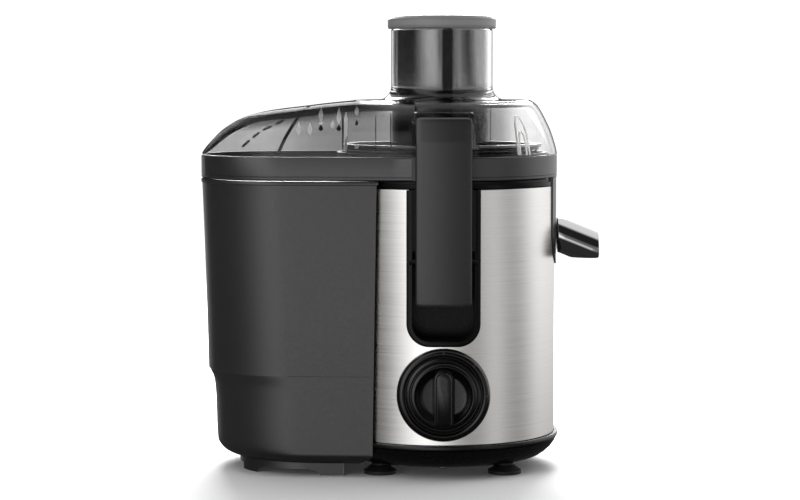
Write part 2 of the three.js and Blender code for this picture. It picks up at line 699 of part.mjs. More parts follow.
function armatureCore() {
  const core = disc(ARMATURE_R, STATOR_Z + 1, STATOR_Z + STATOR_H - 1, 24);
  return cut(core, disc(SHAFT_R + GAP, 0, 300, 16));
}

const armatureWinding = (z) => turned([
  [6, z], [14, z], [17, z + 3], [14, z + 6], [6, z + 6], [6, z],
], 16);
const commutator = () => tube(10, SHAFT_R + GAP, 88, 100, 16);
const motorShaft = () => disc(SHAFT_R, 72, 183.7, 16);
const driveCoupling = () => cut(disc(9, 184, 197, 6), disc(SHAFT_R - 1, 180, 190, 12));

function coolingFan() {
  const hub = tube(8, SHAFT_R + GAP, 158, 164, 24);
  const plateRing = tube(25, 7.5, 158, 159.4, 24);
  const blades = [];
  for (let i = 0; i < 9; i += 1) {
    const angle = (i * 2 * Math.PI) / 9;
    blades.push(solid(new THREE.BoxGeometry(17, 1.2, 5).translate(16, 0, 161.4).rotateZ(angle)));
  }
  return union(hub, plateRing, ...blades);
}

const bearing = (z) => tube(11, SHAFT_R + GAP, z, z + 7, 16);

// A cross-shaped bracket that carries one bearing and bolts to the core.
function motorBracket(z, h, seatZ) {
  const arms = union(
    box(-STATOR_HALF - 8, STATOR_HALF + 8, -7, 7, z, z + h),
    box(-7, 7, -STATOR_HALF - 8, STATOR_HALF + 8, z, z + h),
    disc(14.5, Math.min(z, seatZ), Math.max(z + h, seatZ + 8), 24),
  );
  return cut(arms, disc(11 + GAP, 0, 300, 24));
}

function brushHolder(s) {
  const bore = box(...spanOn(s, 10, 24), -3.3, 3.3, 90.7, 97.3);
  return cut(box(...spanOn(s, 12, 26), -5, 5, 89, 99), bore);
}

const carbonBrush = (s) => box(...spanOn(s, 10.4, 22), -3, 3, 91, 97);
const rubberMount = (x, y) => tube(6, 2.5, 60, 69.7, 12, x, y);

function cordGland() {
  const profile = (r, a, b) => barY(r, a, b, 0, GLAND_Z, COARSE);
  return cut(union(profile(7.2, 74, 87), profile(10, 83, 86)), profile(3.6, 70, 90));
}

// ---- assembly -----------------------------------------------------------------------------------
function addMotorBase() {
  add('base_plate', basePlate(), BLACK);
  CORNERS.forEach(([a, b], i) => {
    add(`suction_foot_${i + 1}`, suctionFoot(a * FOOT_X, b * FOOT_Y), RUBBER);
  });
  SCREW_PLACES.forEach(([x, y], i) => add(`base_screw_${i + 1}`, baseScrew(x, y), IRON));
  add('steel_wrap', steelWrap(), STEEL);
  add('motor_housing', motorHousing(), BLACK);
  add('cord_gland', cordGland(), RUBBER);
  for (const { side, s } of LATCH_SIDES) {
    add(`latch_pocket_${side}`, latchPocket(s), DARK_GREY);
    add(`latch_pin_${side}`, latchPin(s), IRON);
    add(`latch_${side}`, latchArm(s), DARK_GREY);
    add(`interlock_switch_${side}`, box(-9, 9, ...spanOn(s, 45, 52.5), 118, 134), BLACK);
  }
}

function addSpeedControl() {
  add('knob_bezel', knobBezel(), BLACK);
  add('knob', knobBody(), BLACK);
  add('knob_shaft', knobShaft(), IRON);
  add('speed_switch', speedSwitch(), BLACK);
  add('circuit_board', box(-28, 28, -20, 20, 24, 25.6), BOARD);
}

function addMotor() {
  add('stator_core', statorCore(), IRON);
  add('field_coil_left', fieldCoil(-1), COPPER);
  add('field_coil_right', fieldCoil(1), COPPER);
  add('motor_shaft', motorShaft(), STEEL);
  add('armature_core', armatureCore(), IRON);
  add('armature_winding_upper', armatureWinding(STATOR_Z + STATOR_H - 0.6), COPPER);
  add('armature_winding_lower', armatureWinding(STATOR_Z - 5.4), COPPER);
  add('commutator', commutator(), BRASS);
  add('cooling_fan', coolingFan(), DARK_GREY);
  add('drive_coupling', driveCoupling(), DARK_GREY);
  add('lower_bearing', bearing(74), STEEL);
  add('upper_bearing', bearing(167), STEEL);
  add('lower_motor_bracket', motorBracket(70, 4, 73), IRON);
  add('upper_motor_bracket', motorBracket(170, 4, 167), IRON);
  [-1, 1].forEach((s) => add(`brush_holder_${s < 0 ? 'left' : 'right'}`, brushHolder(s), BRASS));
  [-1, 1].forEach((s) => add(`carbon_brush_${s < 0 ? 'left' : 'right'}`, carbonBrush(s), RUBBER));
  [[0, MOTOR_SEAT], [0, -MOTOR_SEAT], [MOTOR_SEAT, 0], [-MOTOR_SEAT, 0]].forEach(([x, y], i) => {
    add(`motor_mount_${i + 1}`, rubberMount(x, y), RUBBER);
  });
  add('shaft_seal', tube(11.7, SHAFT_R + 0.4, DECK_Z + 0.4, DECK_Z + 4.4, 16), RUBBER);
}

function addJuicingPieces() {
  add('juice_collector', juiceCollector(), DARK_GREY);
  add('spout', spoutTube(), CHROME);
  add('sieve_hub', sieveHub(), DARK_GREY);
  add('grater_disc', graterDisc(), STEEL);
  add('sieve_mesh', sieveMesh(), STEEL);
  add('sieve_ring', sieveRing(), STEEL);
  add('lid', lidShell(), CLEAR);
  add('pusher_body', pusherBody(), SMOKED);
  add('pusher_cap', pusherCap(), MID_GREY);
  add('pulp_container', pulpContainer(), DARK_GREY);
}

addMotorBase();
addSpeedControl();
addMotor();
addJuicingPieces();

// The origin goes to the bottom centre of the whole object's box.
const FRONT_X = SPOUT_END;
const BACK_X = HOOD_BACK - 1;
const assembly = new THREE.Group();
model.position.set(-(FRONT_X + BACK_X) / 2, (GRIP_FRONT - LATCH_OUT) / 2, 0);
assembly.add(model);

export default assembly;
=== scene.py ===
# Looks of the centrifugal juicer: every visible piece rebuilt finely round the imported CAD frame.
# Shapes are made in millimetres from the drive axis, +X to the spout and -Y to the speed knob, and
# moved into the row frame, in metres, as they are built.
import math

import bmesh
import bpy
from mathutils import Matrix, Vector


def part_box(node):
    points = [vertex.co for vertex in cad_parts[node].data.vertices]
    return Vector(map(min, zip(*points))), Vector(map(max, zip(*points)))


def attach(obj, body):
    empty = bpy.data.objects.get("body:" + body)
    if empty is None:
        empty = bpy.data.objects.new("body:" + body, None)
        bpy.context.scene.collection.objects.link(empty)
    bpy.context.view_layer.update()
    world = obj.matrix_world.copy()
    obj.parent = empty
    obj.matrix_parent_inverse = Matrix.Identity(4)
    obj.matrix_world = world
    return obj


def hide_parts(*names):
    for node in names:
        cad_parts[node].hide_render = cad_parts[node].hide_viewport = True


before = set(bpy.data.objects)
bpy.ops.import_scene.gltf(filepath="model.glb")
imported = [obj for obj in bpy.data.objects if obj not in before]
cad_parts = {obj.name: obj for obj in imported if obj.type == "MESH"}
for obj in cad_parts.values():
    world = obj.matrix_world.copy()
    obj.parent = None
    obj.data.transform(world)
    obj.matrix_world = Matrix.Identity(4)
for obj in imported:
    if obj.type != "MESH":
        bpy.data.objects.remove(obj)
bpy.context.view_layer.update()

MM = 0.001
GAP = 0.3
FINE = 192  # segments of large circles
FINEST = 256  # segments of those that show as outlines


def frame_box(node):
    low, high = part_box(node)
    return Vector(low), Vector(high)


CAP_LOW, CAP_HIGH = frame_box("pusher_cap")
AXIS_X = (CAP_LOW.x + CAP_HIGH.x) / 2
AXIS_Y = (CAP_LOW.y + CAP_HIGH.y) / 2


class Span:
    """A CAD node's box in millimetres from the drive axis."""

    def __init__(self, node):
        corners = frame_box(node)
        self.x0, self.x1 = [(v.x - AXIS_X) / MM for v in corners]
        self.y0, self.y1 = [(v.y - AXIS_Y) / MM for v in corners]
        self.z0, self.z1 = [v.z / MM for v in corners]
        self.middle = (self.x0 + self.x1) / 2, (self.y0 + self.y1) / 2, (self.z0 + self.z1) / 2


WRAP = Span("steel_wrap")
HOUSING = Span("motor_housing")
BASE = Span("base_plate")
COLLECTOR = Span("juice_collector")
LID = Span("lid")
CAP = Span("pusher_cap")
PUSHER = Span("pusher_body")
POCKET = Span("latch_pocket_near")
LATCH = Span("latch_near")
BEZEL = Span("knob_bezel")
KNOB = Span("knob")
SPOUT = Span("spout")
TUB = Span("pulp_container")
SIEVE = Span("sieve_ring")
MESH = Span("sieve_mesh")
HUB = Span("sieve_hub")
GLAND = Span("cord_gland")

BODY_R = WRAP.x1
COLLAR_R = 84.0
COLLAR_Z = HOUSING.z1 + GAP
LID_Z = COLLECTOR.z1 - 1.3  # the lid's foot, a little below the bowl's rim
BACK_X = LID.x0
FAR = 300  # past everything, for tools that cut through


# ---- outlines -----------------------------------------------------------------------------------
def arc(cx, cy, r, a0, a1, steps):
    """Points on an arc from a0 to a1 degrees."""
    turn = [math.radians(a0 + (a1 - a0) * i / steps) for i in range(steps + 1)]
    return [(cx + r * math.cos(a), cy + r * math.sin(a)) for a in turn]


def turns(count):
    """Angles at equal steps round a full turn."""
    return [math.tau * i / count for i in range(count)]


def quarter(steps):
    """Angles at equal steps over a right angle."""
    return [math.pi / 2 * i / steps for i in range(steps + 1)]


def across(radius, along):
    """Half the width of a circle at a distance from its middle."""
    return math.sqrt(max(0, radius ** 2 - along ** 2))


def rounded(points, steps=5):
    """A closed outline of (x, y) or (x, y, radius) corners, with each radius as an arc."""
    out = []
    count = len(points)
    for i, point in enumerate(points):
        here = Vector(point[:2])
        radius = point[2] if len(point) > 2 else 0
        if radius <= 0:
            out.append(tuple(here))
            continue
        back = Vector(points[i - 1][:2]) - here
        ahead = Vector(points[(i + 1) % count][:2]) - here
        u, v = back.normalized(), ahead.normalized()
        half = math.acos(max(-1, min(1, u.dot(v)))) / 2
        reach = min(radius / math.tan(half), back.length * 0.49, ahead.length * 0.49)
        radius = reach * math.tan(half)
        middle = here + (u + v).normalized() * (radius / math.sin(half))
        start, end = here + u * reach - middle, here + v * reach - middle
        a0 = math.atan2(start.y, start.x)
        sweep = math.remainder(math.atan2(end.y, end.x) - a0, math.tau)
        for k in range(steps + 1):
            a = a0 + sweep * k / steps
            out.append((middle.x + radius * math.cos(a), middle.y + radius * math.sin(a)))
    return out


def offset(loop, distance):
    """The closed loop moved inwards by distance (outwards if negative), point by point."""
    area = sum(a[0] * b[1] - b[0] * a[1] for a, b in zip(loop, loop[1:] + loop[:1]))
    side = 1 if area > 0 else -1
    out = []
    for i, point in enumerate(loop):
        before = Vector(point) - Vector(loop[i - 1])
        after = Vector(loop[(i + 1) % len(loop)]) - Vector(point)
        n1 = Vector((-before.y, before.x)).normalized() * side
        n2 = Vector((-after.y, after.x)).normalized() * side
        normal = (n1 + n2).normalized()
        stretch = 1 / max(0.5, normal.dot(n2))
        out.append((point[0] + normal.x * distance * stretch, point[1] + normal.y * distance * stretch))
    return out


# ---- meshes -------------------------------------------------------------------------------------
def smooth(obj, angle=32):
    """Smooth shading with sharp edges where faces meet at more than angle degrees."""
    for face in obj.data.polygons:
        face.use_smooth = True
    obj.data.set_sharp_from_angle(angle=math.radians(angle))


def build(name, verts, faces):
    """A mesh object from millimetre vertices, welded, with its faces pointing out."""
    mesh = bpy.data.meshes.new(name)
    moved = [(x * MM + AXIS_X, y * MM + AXIS_Y, z * MM) for x, y, z in verts]
    mesh.from_pydata(moved, [], faces)
    work = bmesh.new()
    work.from_mesh(mesh)
    bmesh.ops.remove_doubles(work, verts=work.verts, dist=1e-6)
    bmesh.ops.dissolve_degenerate(work, edges=work.edges, dist=1e-6)
    bmesh.ops.recalc_face_normals(work, faces=work.faces)
    work.to_mesh(mesh)
    work.free()
    obj = bpy.data.objects.new(name, mesh)
    bpy.context.scene.collection.objects.link(obj)
    smooth(obj)
    return obj


def skin(name, rings, wrap=False):
    """A closed skin over rings of equal length; wrap joins the last ring to the first."""
    count, size = len(rings), len(rings[0])
    verts = [v for ring in rings for v in ring]
    faces = []
    for r in range(count if wrap else count - 1):
        s = (r + 1) % count
        for i in range(size):
            j = (i + 1) % size
            faces.append((r * size + i, r * size + j, s * size + j, s * size + i))
    if not wrap:
        faces.append(tuple(range(size)))
        faces.append(tuple(range((count - 1) * size, count * size)))
    return build(name, verts, faces)


def lathe(name, profile, segments=FINE, x=0, y=0):
    """A closed profile of (radius, z) turned round an upright axis at (x, y)."""
    rings = [[(x + r * math.cos(a), y + r * math.sin(a), z) for r, z in profile] for a in turns(segments)]
    return skin(name, rings, wrap=True)


def lathe_y(name, profile, z, segments, side=-1):
    """A closed profile of (radius, distance) turned round an axis along Y at height z."""
    rings = [[(r * math.cos(a), side * d, z + r * math.sin(a)) for r, d in profile] for a in turns(segments)]
    return skin(name, rings, wrap=True)


def disc(radius, z0, z1, segments=FINE):
    return lathe("disc", [(0, z0), (radius, z0), (radius, z1), (0, z1)], segments)


def prism(name, loop, low, high, plane="xy"):
    """A flat closed outline pushed from low to high: along Z, along Y (xz) or along X (yz)."""
    order = {
        "xy": lambda u, v, w: (u, v, w),
        "xz": lambda u, v, w: (u, w, v),
        "yz": lambda u, v, w: (w, u, v),
    }[plane]
    return skin(name, [[order(u, v, w) for u, v in loop] for w in (low, high)])


def block(name, x0, x1, y0, y1, z0, z1):
    return prism(name, [(x0, y0), (x1, y0), (x1, y1), (x0, y1)], z0, z1)


def baked(obj):
    """The object's mesh with its modifiers applied."""
    bpy.context.view_layer.update()
    graph = bpy.context.evaluated_depsgraph_get()
    mesh = bpy.data.meshes.new_from_object(obj.evaluated_get(graph))
    old = obj.data
    obj.modifiers.clear()
    obj.data = mesh
    bpy.data.meshes.remove(old)
    return obj


def combine(body, tools, operation):
    """Joins, cuts or keeps the overlap of solids, one tool at a time."""
    for tool in tools:
        step = body.modifiers.new("combine", "BOOLEAN")
        step.operation = operation
        step.solver = "MANIFOLD"
        step.object = tool
        baked(body)
        bpy.data.objects.remove(tool, do_unlink=True)
    return body


def cut(body, *tools):
    return combine(body, tools, "DIFFERENCE")


def union(body, *tools):
    return combine(body, tools, "UNION")


def keep(body, *tools):
    return combine(body, tools, "INTERSECT")


def join(name, parts):
    """Several separate shells as one object."""
    work = bmesh.new()
    for part in parts:
        work.from_mesh(part.data)
    mesh = bpy.data.meshes.new(name)
    work.to_mesh(mesh)
    work.free()
    for part in parts:
        bpy.data.objects.remove(part, do_unlink=True)
    obj = bpy.data.objects.new(name, mesh)
    bpy.context.scene.collection.objects.link(obj)
    return obj


def round_normals(obj):
    """Shades faces that lie on a round wall about the drive axis with the wall's own normals."""
    mesh = obj.data
    normals = [None] * len(mesh.loops)
    corner = [Vector(n.vector) for n in mesh.corner_normals]
    for face in mesh.polygons:
        for index in face.loop_indices:
            point = mesh.vertices[mesh.loops[index].vertex_index].co
            out = Vector((point.x - AXIS_X, point.y - AXIS_Y, 0)).normalized()
            lean = face.normal.dot(out)
            normals[index] = out * math.copysign(1, lean) if abs(lean) > 0.985 else corner[index]
    mesh.normals_split_custom_set(normals)


def finish_piece(obj, body, material, slot, *nodes, angle=32, label=None):
    """Shades, paints and places a piece: it rides on a body and stands for CAD nodes."""
    smooth(obj, angle)
    obj.name = (label or nodes[0]) + "_look"
    obj.data.materials.clear()
    obj.data.materials.append(material)
    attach(obj, body)
    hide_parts(*nodes)


# ---- materials ----------------------------------------------------------------------------------
class Nodes:
    """A small helper that adds and links nodes of one material."""

    def __init__(self, name):
        self.material = bpy.data.materials.new(name)
        self.material.use_nodes = True
        self.tree = self.material.node_tree
        self.shader = self.tree.nodes["Principled BSDF"]
        self.coords = self.tree.nodes.new("ShaderNodeTexCoord").outputs["Object"]

    def add(self, kind, **inputs):
        node = self.tree.nodes.new("ShaderNode" + kind)
        for key, value in inputs.items():
            self.put(node, key, value)
        return node

    def put(self, node, key, value):
        """Sets or links an input by name, with _ for a space, or by place as i0, i1 and so on."""
        socket = node.inputs[int(key[1:])] if key[0] == "i" and key[1:].isdigit() else None
        socket = socket or node.inputs[key.replace("_", " ")]
        if isinstance(value, bpy.types.NodeSocket):
            self.tree.links.new(value, socket)
        else:
            socket.default_value = value

    def noise(self, scale, detail=3.0, rough=0.5, vector=None):
        node = self.add("TexNoise", Vector=vector or self.coords, Scale=scale, Detail=detail)
        node.inputs["Roughness"].default_value = rough
        return node.outputs["Fac"]

    def span(self, value, low, high, start=0.3, end=0.7):
        """The value mapped from start..end to low..high."""
        node = self.add("MapRange", Value=value)
        for key, number in zip(("From Min", "From Max", "To Min", "To Max"), (start, end, low, high)):
            node.inputs[key].default_value = number
        return node.outputs["Result"]

    def math(self, operation, a, b=0.0):
        node = self.add("Math", i0=a, i1=b)
        node.operation = operation
        return node.outputs[0]

    def blend(self, factor, first, second):
        """A colour between two colours, each a socket or a plain (r, g, b)."""
        node = self.tree.nodes.new("ShaderNodeMix")
        node.data_type = "RGBA"
        self.put(node, "Factor", factor)
        for socket, value in ((node.inputs[6], first), (node.inputs[7], second)):
            if isinstance(value, bpy.types.NodeSocket):
                self.tree.links.new(value, socket)
            else:
                socket.default_value = (*value, 1)
        return node.outputs[2]

    def vary(self, noise, colour, amount):
        """The colour made lighter and darker by amount where the noise is high and low."""
        return self.blend(self.span(noise, 0, 1), shade(colour, 1 - amount), shade(colour, 1 + amount))

    def bump(self, height, strength, distance):
        node = self.add("Bump", Strength=strength, Distance=distance, Height=height)
        return node.outputs["Normal"]

    def mixed(self, factor, first, second):
        mix = self.tree.nodes.new("ShaderNodeMixShader")
        for socket, value in zip(mix.inputs, (factor, first, second)):
            self.tree.links.new(value, socket)
        return mix.outputs[0]

    def set(self, **inputs):
        for key, value in inputs.items():
            self.put(self.shader, key, value)


def fill_ramp(ramp, stops):
    """Puts (position, colour) stops on a colour ramp."""
    elements = ramp.color_ramp.elements
    while len(elements) < len(stops):
        elements.new(0.5)
    for element, (position, colour) in zip(elements, stops):
        element.position = position
        element.color = colour


def shade(colour, factor):
    return tuple(min(1, c * factor) for c in colour)


def moulded(name, colour, rough, grain=2600.0, depth=0.00003, strength=0.25, level=0.35):
    """Moulded plastic: faint mould grain, slow colour drift, paler along sharp edges."""
    n = Nodes(name)
    edge_pale = n.span(n.add("NewGeometry").outputs["Pointiness"], 0.0, 0.35, 0.53, 0.62)
    tone = n.blend(edge_pale, n.vary(n.noise(16.0), colour, 0.1), shade(colour, 1.9))
    speck = n.noise(900.0, 2.0)
    n.set(Base_Color=tone, Roughness=n.span(speck, rough - 0.04, rough + 0.05), Specular_IOR_Level=level)
    n.set(Normal=n.bump(n.noise(grain, 2.0), strength, depth))
    return n.material


def glossy(name, colour, rough, vary=0.12, level=0.3, ior=1.5):
    """Polished dark plastic with fine haze and a few hairline scuffs."""
    n = Nodes(name)
    haze = n.noise(120.0, 5.0, 0.65)
    n.set(Base_Color=n.vary(n.noise(20.0), colour, vary), Roughness=n.span(haze, rough * 0.75, rough * 1.35))
    n.set(Specular_IOR_Level=level, IOR=ior)
    n.set(Normal=n.bump(n.noise(55.0, 2.0), 0.05, 0.0001))
    return n.material


def around_axis(n):
    """Coordinates unrolled round the drive axis: turns round it in metres, and height."""
    xyz = n.add("SeparateXYZ", Vector=n.coords)
    x = n.math("SUBTRACT", xyz.outputs[0], AXIS_X)
    y = n.math("SUBTRACT", xyz.outputs[1], AXIS_Y)
    turn = n.math("ARCTAN2", y, x)
    return n.math("MULTIPLY", turn, BODY_R * MM), xyz.outputs[2]


def brushed(name, colour, rough):
    """Stainless steel brushed level round the body: long fine streaks in colour, gloss and relief."""
    n = Nodes(name)
    turn, height = around_axis(n)
    grids = []
    for side, up in ((3.0, 2600.0), (9.0, 832.0), (1.8, 156.0)):
        vector = n.add("CombineXYZ", X=n.math("MULTIPLY", turn, side), Y=n.math("MULTIPLY", height, up))
        grids.append(n.noise(1.0, 3.0, 0.6, vector.outputs[0]))
    fine, medium, broad = grids
    mix = n.math("ADD", n.math("MULTIPLY", fine, 0.5), n.math("MULTIPLY", medium, 0.5))
    tone = n.blend(n.span(mix, 0, 1, 0.35, 0.65), shade(colour, 0.86), shade(colour, 1.06))
    tone = n.blend(n.span(broad, 0, 0.5), tone, shade(colour, 0.97))
    n.set(Base_Color=tone, Metallic=1.0, Roughness=n.span(mix, rough - 0.05, rough + 0.07))
    tangent = n.add("Tangent")
    tangent.direction_type = "RADIAL"
    tangent.axis = "Z"
    n.set(Anisotropic=0.55, Tangent=tangent.outputs[0], Normal=n.bump(mix, 0.12, 0.00004))
    return n.material


def metal(name, colour, rough, grain=400.0, depth=0.00005, vary=0.08):
    """Plated, cast or drawn metal with faint unevenness."""
    n = Nodes(name)
    n.set(Base_Color=n.vary(n.noise(60.0, 4.0), colour, vary), Metallic=1.0)
    n.set(Roughness=n.span(n.noise(180.0, 4.0), rough * 0.7, rough * 1.4))
    n.set(Normal=n.bump(n.noise(grain, 3.0), 0.15, depth))
    return n.material


def layered(name, colour, dark, rough, pitch):
    """Stacked sheets or wound wire: level lines at a fixed pitch in metres, slightly uneven."""
    n = Nodes(name)
    height = n.add("SeparateXYZ", Vector=n.coords).outputs[2]
    wave = n.math("SINE", n.math("MULTIPLY", height, math.tau / pitch))
    line = n.math("ADD", n.math("MULTIPLY", wave, 0.5), 0.5)
    uneven = n.math("ADD", line, n.math("MULTIPLY", n.noise(700.0), 0.5))
    n.set(Base_Color=n.blend(n.span(uneven, 0, 1, 0.3, 1.2), dark, colour), Metallic=1.0)
    n.set(Roughness=n.span(n.noise(300.0), rough - 0.08, rough + 0.08))
    n.set(Normal=n.bump(line, 0.5, pitch * 0.3))
    return n.material


def perforated(name, colour, rough, pitch=0.0016):
    """Sieve sheet: rows of small dark holes round the drive axis."""
    n = Nodes(name)
    turn, height = around_axis(n)
    vector = n.add("CombineXYZ", X=n.math("DIVIDE", turn, pitch), Y=n.math("DIVIDE", height, pitch * 0.62))
    cells = n.add("TexVoronoi", Vector=vector.outputs[0], Scale=1.0, Randomness=0.0)
    hole = n.span(cells.outputs["Distance"], 1, 0, 0.22, 0.34)
    n.set(Base_Color=n.blend(hole, colour, (0.012, 0.012, 0.012)))
    n.set(Metallic=n.span(hole, 1, 0, 0.0, 1.0), Roughness=n.span(n.noise(300.0), rough - 0.06, rough + 0.1))
    n.set(Normal=n.bump(n.math("SUBTRACT", 1.0, hole), 0.6, 0.0003))
    return n.material


# Painted shade on the lid by distance along X from the drive axis, and on the feed chute above it: how light
# the clear plastic's colour stays, lower for the shaded parts seen through it.
LID_SHADE = (
    (-175, 0.66), (-150, 0.62), (-112, 0.56), (-96, 0.47), (-70, 0.42), (-50, 0.44), (-36, 0.5),
    (-30, 0.34), (0, 0.4), (24, 0.48), (40, 0.52), (47, 0.66), (56, 0.9), (84, 0.86),
)
CHUTE_SHADE = 0.95


def clear(name, rough=0.03):
    """Clear polished plastic with painted shade: darker towards the hood and below the chute, for the shaded
    parts seen through it, and painted black where seen edge on and on the hood's top shoulder.
    """
    n = Nodes(name)
    place = n.add("SeparateXYZ", Vector=n.coords)
    x = n.math("DIVIDE", n.math("SUBTRACT", place.outputs[0], AXIS_X), MM)
    start, end = LID_SHADE[0][0], LID_SHADE[-1][0]
    # Painted shade: the lid's colour darkens along X towards the hood, standing for the shaded parts seen
    # through it.
    ramp = n.add("ValToRGB", Fac=n.span(x, 0, 1, start, end))
    fill_ramp(ramp, [((spot - start) / (end - start), (t, t * 1.005, t, 1)) for spot, t in LID_SHADE])
    above = n.span(n.math("DIVIDE", place.outputs[2], MM), 0, 1, 267, 279)
    tone = n.blend(above, ramp.outputs[0], (CHUTE_SHADE,) * 3)
    haze = n.noise(90.0, 4.0)
    n.set(Base_Color=n.blend(n.span(haze, 0, 0.04), tone, (0.5, 0.5, 0.5)), IOR=1.28)
    n.set(Roughness=n.span(haze, rough * 0.6, rough * 1.6), Transmission_Weight=1.0)
    n.set(Normal=n.bump(n.noise(9.0, 1.0), 0.02, 0.0004))
    shadow = n.tree.nodes.new("ShaderNodeBsdfTransparent")
    shadow.inputs[0].default_value = (0.8, 0.805, 0.8, 1)
    # Painted shade: a near-black shell mixed in where the lid is seen edge on and on the hood's
    # upward-facing top shoulder.
    dark = n.add("BsdfDiffuse", Color=(0.006, 0.006, 0.0063, 1))
    edge = n.span(n.add("LayerWeight", Blend=0.5).outputs["Facing"], 0, 0.97, 0.74, 0.93)
    upward = n.add("SeparateXYZ", Vector=n.add("NewGeometry").outputs["Normal"]).outputs[2]
    shoulder = n.math("MULTIPLY", n.span(upward, 0, 0.9, 0.5, 0.88), n.span(x, 1, 0, -60, -34))
    edge = n.math("MAXIMUM", edge, shoulder)
    path = n.tree.nodes.new("ShaderNodeLightPath")
    shell = n.mixed(edge, n.shader.outputs[0], dark.outputs[0])
    whole = n.mixed(path.outputs["Is Shadow Ray"], shell, shadow.outputs[0])
    n.tree.links.new(whole, n.tree.nodes["Material Output"].inputs["Surface"])
    return n.material


DARK_GREY = moulded("dark grey plastic", (0.0105, 0.0100, 0.0103), 0.36, level=0.64)
TUB_GREY = moulded("container plastic", (0.0135, 0.0128, 0.0132), 0.36, 2600.0, 0.00002, 0.2, level=0.8)
CAP_GREY = moulded("mid grey plastic", (0.145, 0.145, 0.147), 0.4)
# Painted shade: the same black plastic as the base's but with its reflection turned down, so that the
# housing ring under the collar's overhang reads as shaded.
BLACK = glossy("black plastic", (0.0022, 0.0022, 0.0023), 0.2, level=0.1)
BASE_BLACK = glossy("base plastic", (0.0022, 0.0022, 0.0023), 0.24, level=0.32)
SMOKED = glossy("smoked plastic", (0.012, 0.012, 0.0125), 0.1, level=1.0, ior=1.75)
STEEL = brushed("brushed steel", (0.84, 0.824, 0.804), 0.3)
CHROME = metal("chrome", (0.42, 0.42, 0.425), 0.045, 30.0, 0.00002, 0.02)
SIEVE_STEEL = metal("sieve steel", (0.68, 0.68, 0.67), 0.26)
SIEVE_RIM = metal("sieve rim", (0.27, 0.27, 0.266), 0.36, 60.0, 0.00001, 0.02)
SIEVE_SHEET = perforated("sieve sheet", (0.66, 0.66, 0.65), 0.3)
CLEAR = clear("clear plastic")
RUBBER = moulded("rubber", (0.011, 0.011, 0.0112), 0.6, 1500.0, 0.00006, 0.4)
PIN_STEEL = metal("blackened steel", (0.03, 0.03, 0.031), 0.35)
IRON = metal("plated iron", (0.32, 0.32, 0.33), 0.4)
LAMINATED = layered("laminated core", (0.3, 0.3, 0.31), (0.06, 0.06, 0.065), 0.45, 0.0006)
COPPER = layered("copper winding", (0.72, 0.3, 0.13), (0.25, 0.08, 0.03), 0.35, 0.0005)
BRASS = metal("brass", (0.66, 0.47, 0.2), 0.3)
CARBON = moulded("carbon", (0.02, 0.02, 0.021), 0.55, 1200.0, 0.00005, 0.4)
BOARD = moulded("circuit board", (0.03, 0.11, 0.045), 0.4, 800.0, 0.00003, 0.3)
# Painted shade: the pockets' plastic darkened to near black, ten times darker than the dark grey, so that
# the recess behind each latch reads as shaded.
POCKET_SHADED = moulded("recess plastic", (0.001, 0.001, 0.00105), 0.3, level=0.16)
KNOB_BLACK = moulded("knob plastic", (0.0022, 0.0022, 0.0023), 0.22, 3000.0, 0.00002, 0.15, level=0.42)
# Painted shade: near-black for the ribs and dark studs inside the clear hood, standing for the dark lines
# that its creases and inner walls show.
RIB = glossy("lid rib", (0.004, 0.004, 0.0042), 0.15, level=0.4)
# Painted highlight: near-white for the studs, the upright and the arches inside the clear lid, standing for
# the bright lines seen there.
PALE = glossy("pale studs", (0.9, 0.9, 0.9), 0.2, 0.04, level=0.5)


# ---- shapes that several pieces share -----------------------------------------------------------
SLOT_HALF = 26.0
SLOT_BOTTOM = COLLECTOR.z0 - 1.2
POCKET_HALF = POCKET.x1
POCKET_BORDER = 4.3
POCKET_CORNER = 16.0
HOLE_INSET = 1.7
LATCH_HALF = LATCH.x1
CHANNEL_Y = 81.6
PIVOT_Z = 154.0
KNOB_Z = KNOB.middle[2]
GLAND_Z = GLAND.middle[2]
KNOB_HOLE_R = 15.0
GLAND_HOLE_R = 7.6
OUT = 95.0  # beyond the body's wall and anything on it
SIDES = (("near", -1), ("far", 1))


def slot_loop(inset, top):
    half = SLOT_HALF - inset
    return [(half, top), (-half, top)] + arc(0, SLOT_BOTTOM + SLOT_HALF, half, 180, 360, 48)


def pocket_loop(inset, top):
    half, bottom, corner = POCKET_HALF - inset, POCKET.z0 + inset, POCKET_CORNER - inset
    left = arc(-half + corner, bottom + corner, corner, 180, 270, 16)
    right = arc(half - corner, bottom + corner, corner, 270, 360, 16)
    return [(half, top), (-half, top)] + left + right


def ordered(side, near, far):
    return sorted((side * near, side * far))


def channels(z0, z1):
    """Tools that cut the two latches' paths."""
    half = LATCH_HALF + 2.6
    return [block("channel", -half, half, *ordered(side, CHANNEL_Y, 96), z0, z1) for _, side in SIDES]


def hole_y(radius, z, side):
    return lathe_y("hole", [(0, 60), (radius, 60), (radius, 96), (0, 96)], z, 64, side)


def wall_openings():
    """Tools for the holes that the wrap and the housing share: knob, cord gland and latch pockets."""
    loop = pocket_loop(HOLE_INSET, WRAP.z1 + 0.3)
    pockets = [prism("hole", loop, *ordered(side, 70, OUT), "xz") for _, side in SIDES]
    return [hole_y(KNOB_HOLE_R, KNOB_Z, -1), hole_y(GLAND_HOLE_R, GLAND_Z, 1), *pockets]


# ---- motor base ---------------------------------------------------------------------------------
def steel_wrap():
    """The brushed sheet round the body, open for the spout's trough, knob, gland and latches."""
    inner = BODY_R - 0.8
    low, high = WRAP.z0, WRAP.z1
    profile = rounded([(inner, low), (BODY_R, low, 0.3), (BODY_R, high, 0.3), (inner, high)], 2)
    wrap = lathe("steel wrap", profile, FINEST)
    cut(wrap, prism("slot", slot_loop(0, WRAP.z1 + 9), 40, OUT, "yz"), *wall_openings())
    finish_piece(wrap, "base", STEEL, "brushed_steel", "steel_wrap")
    round_normals(wrap)


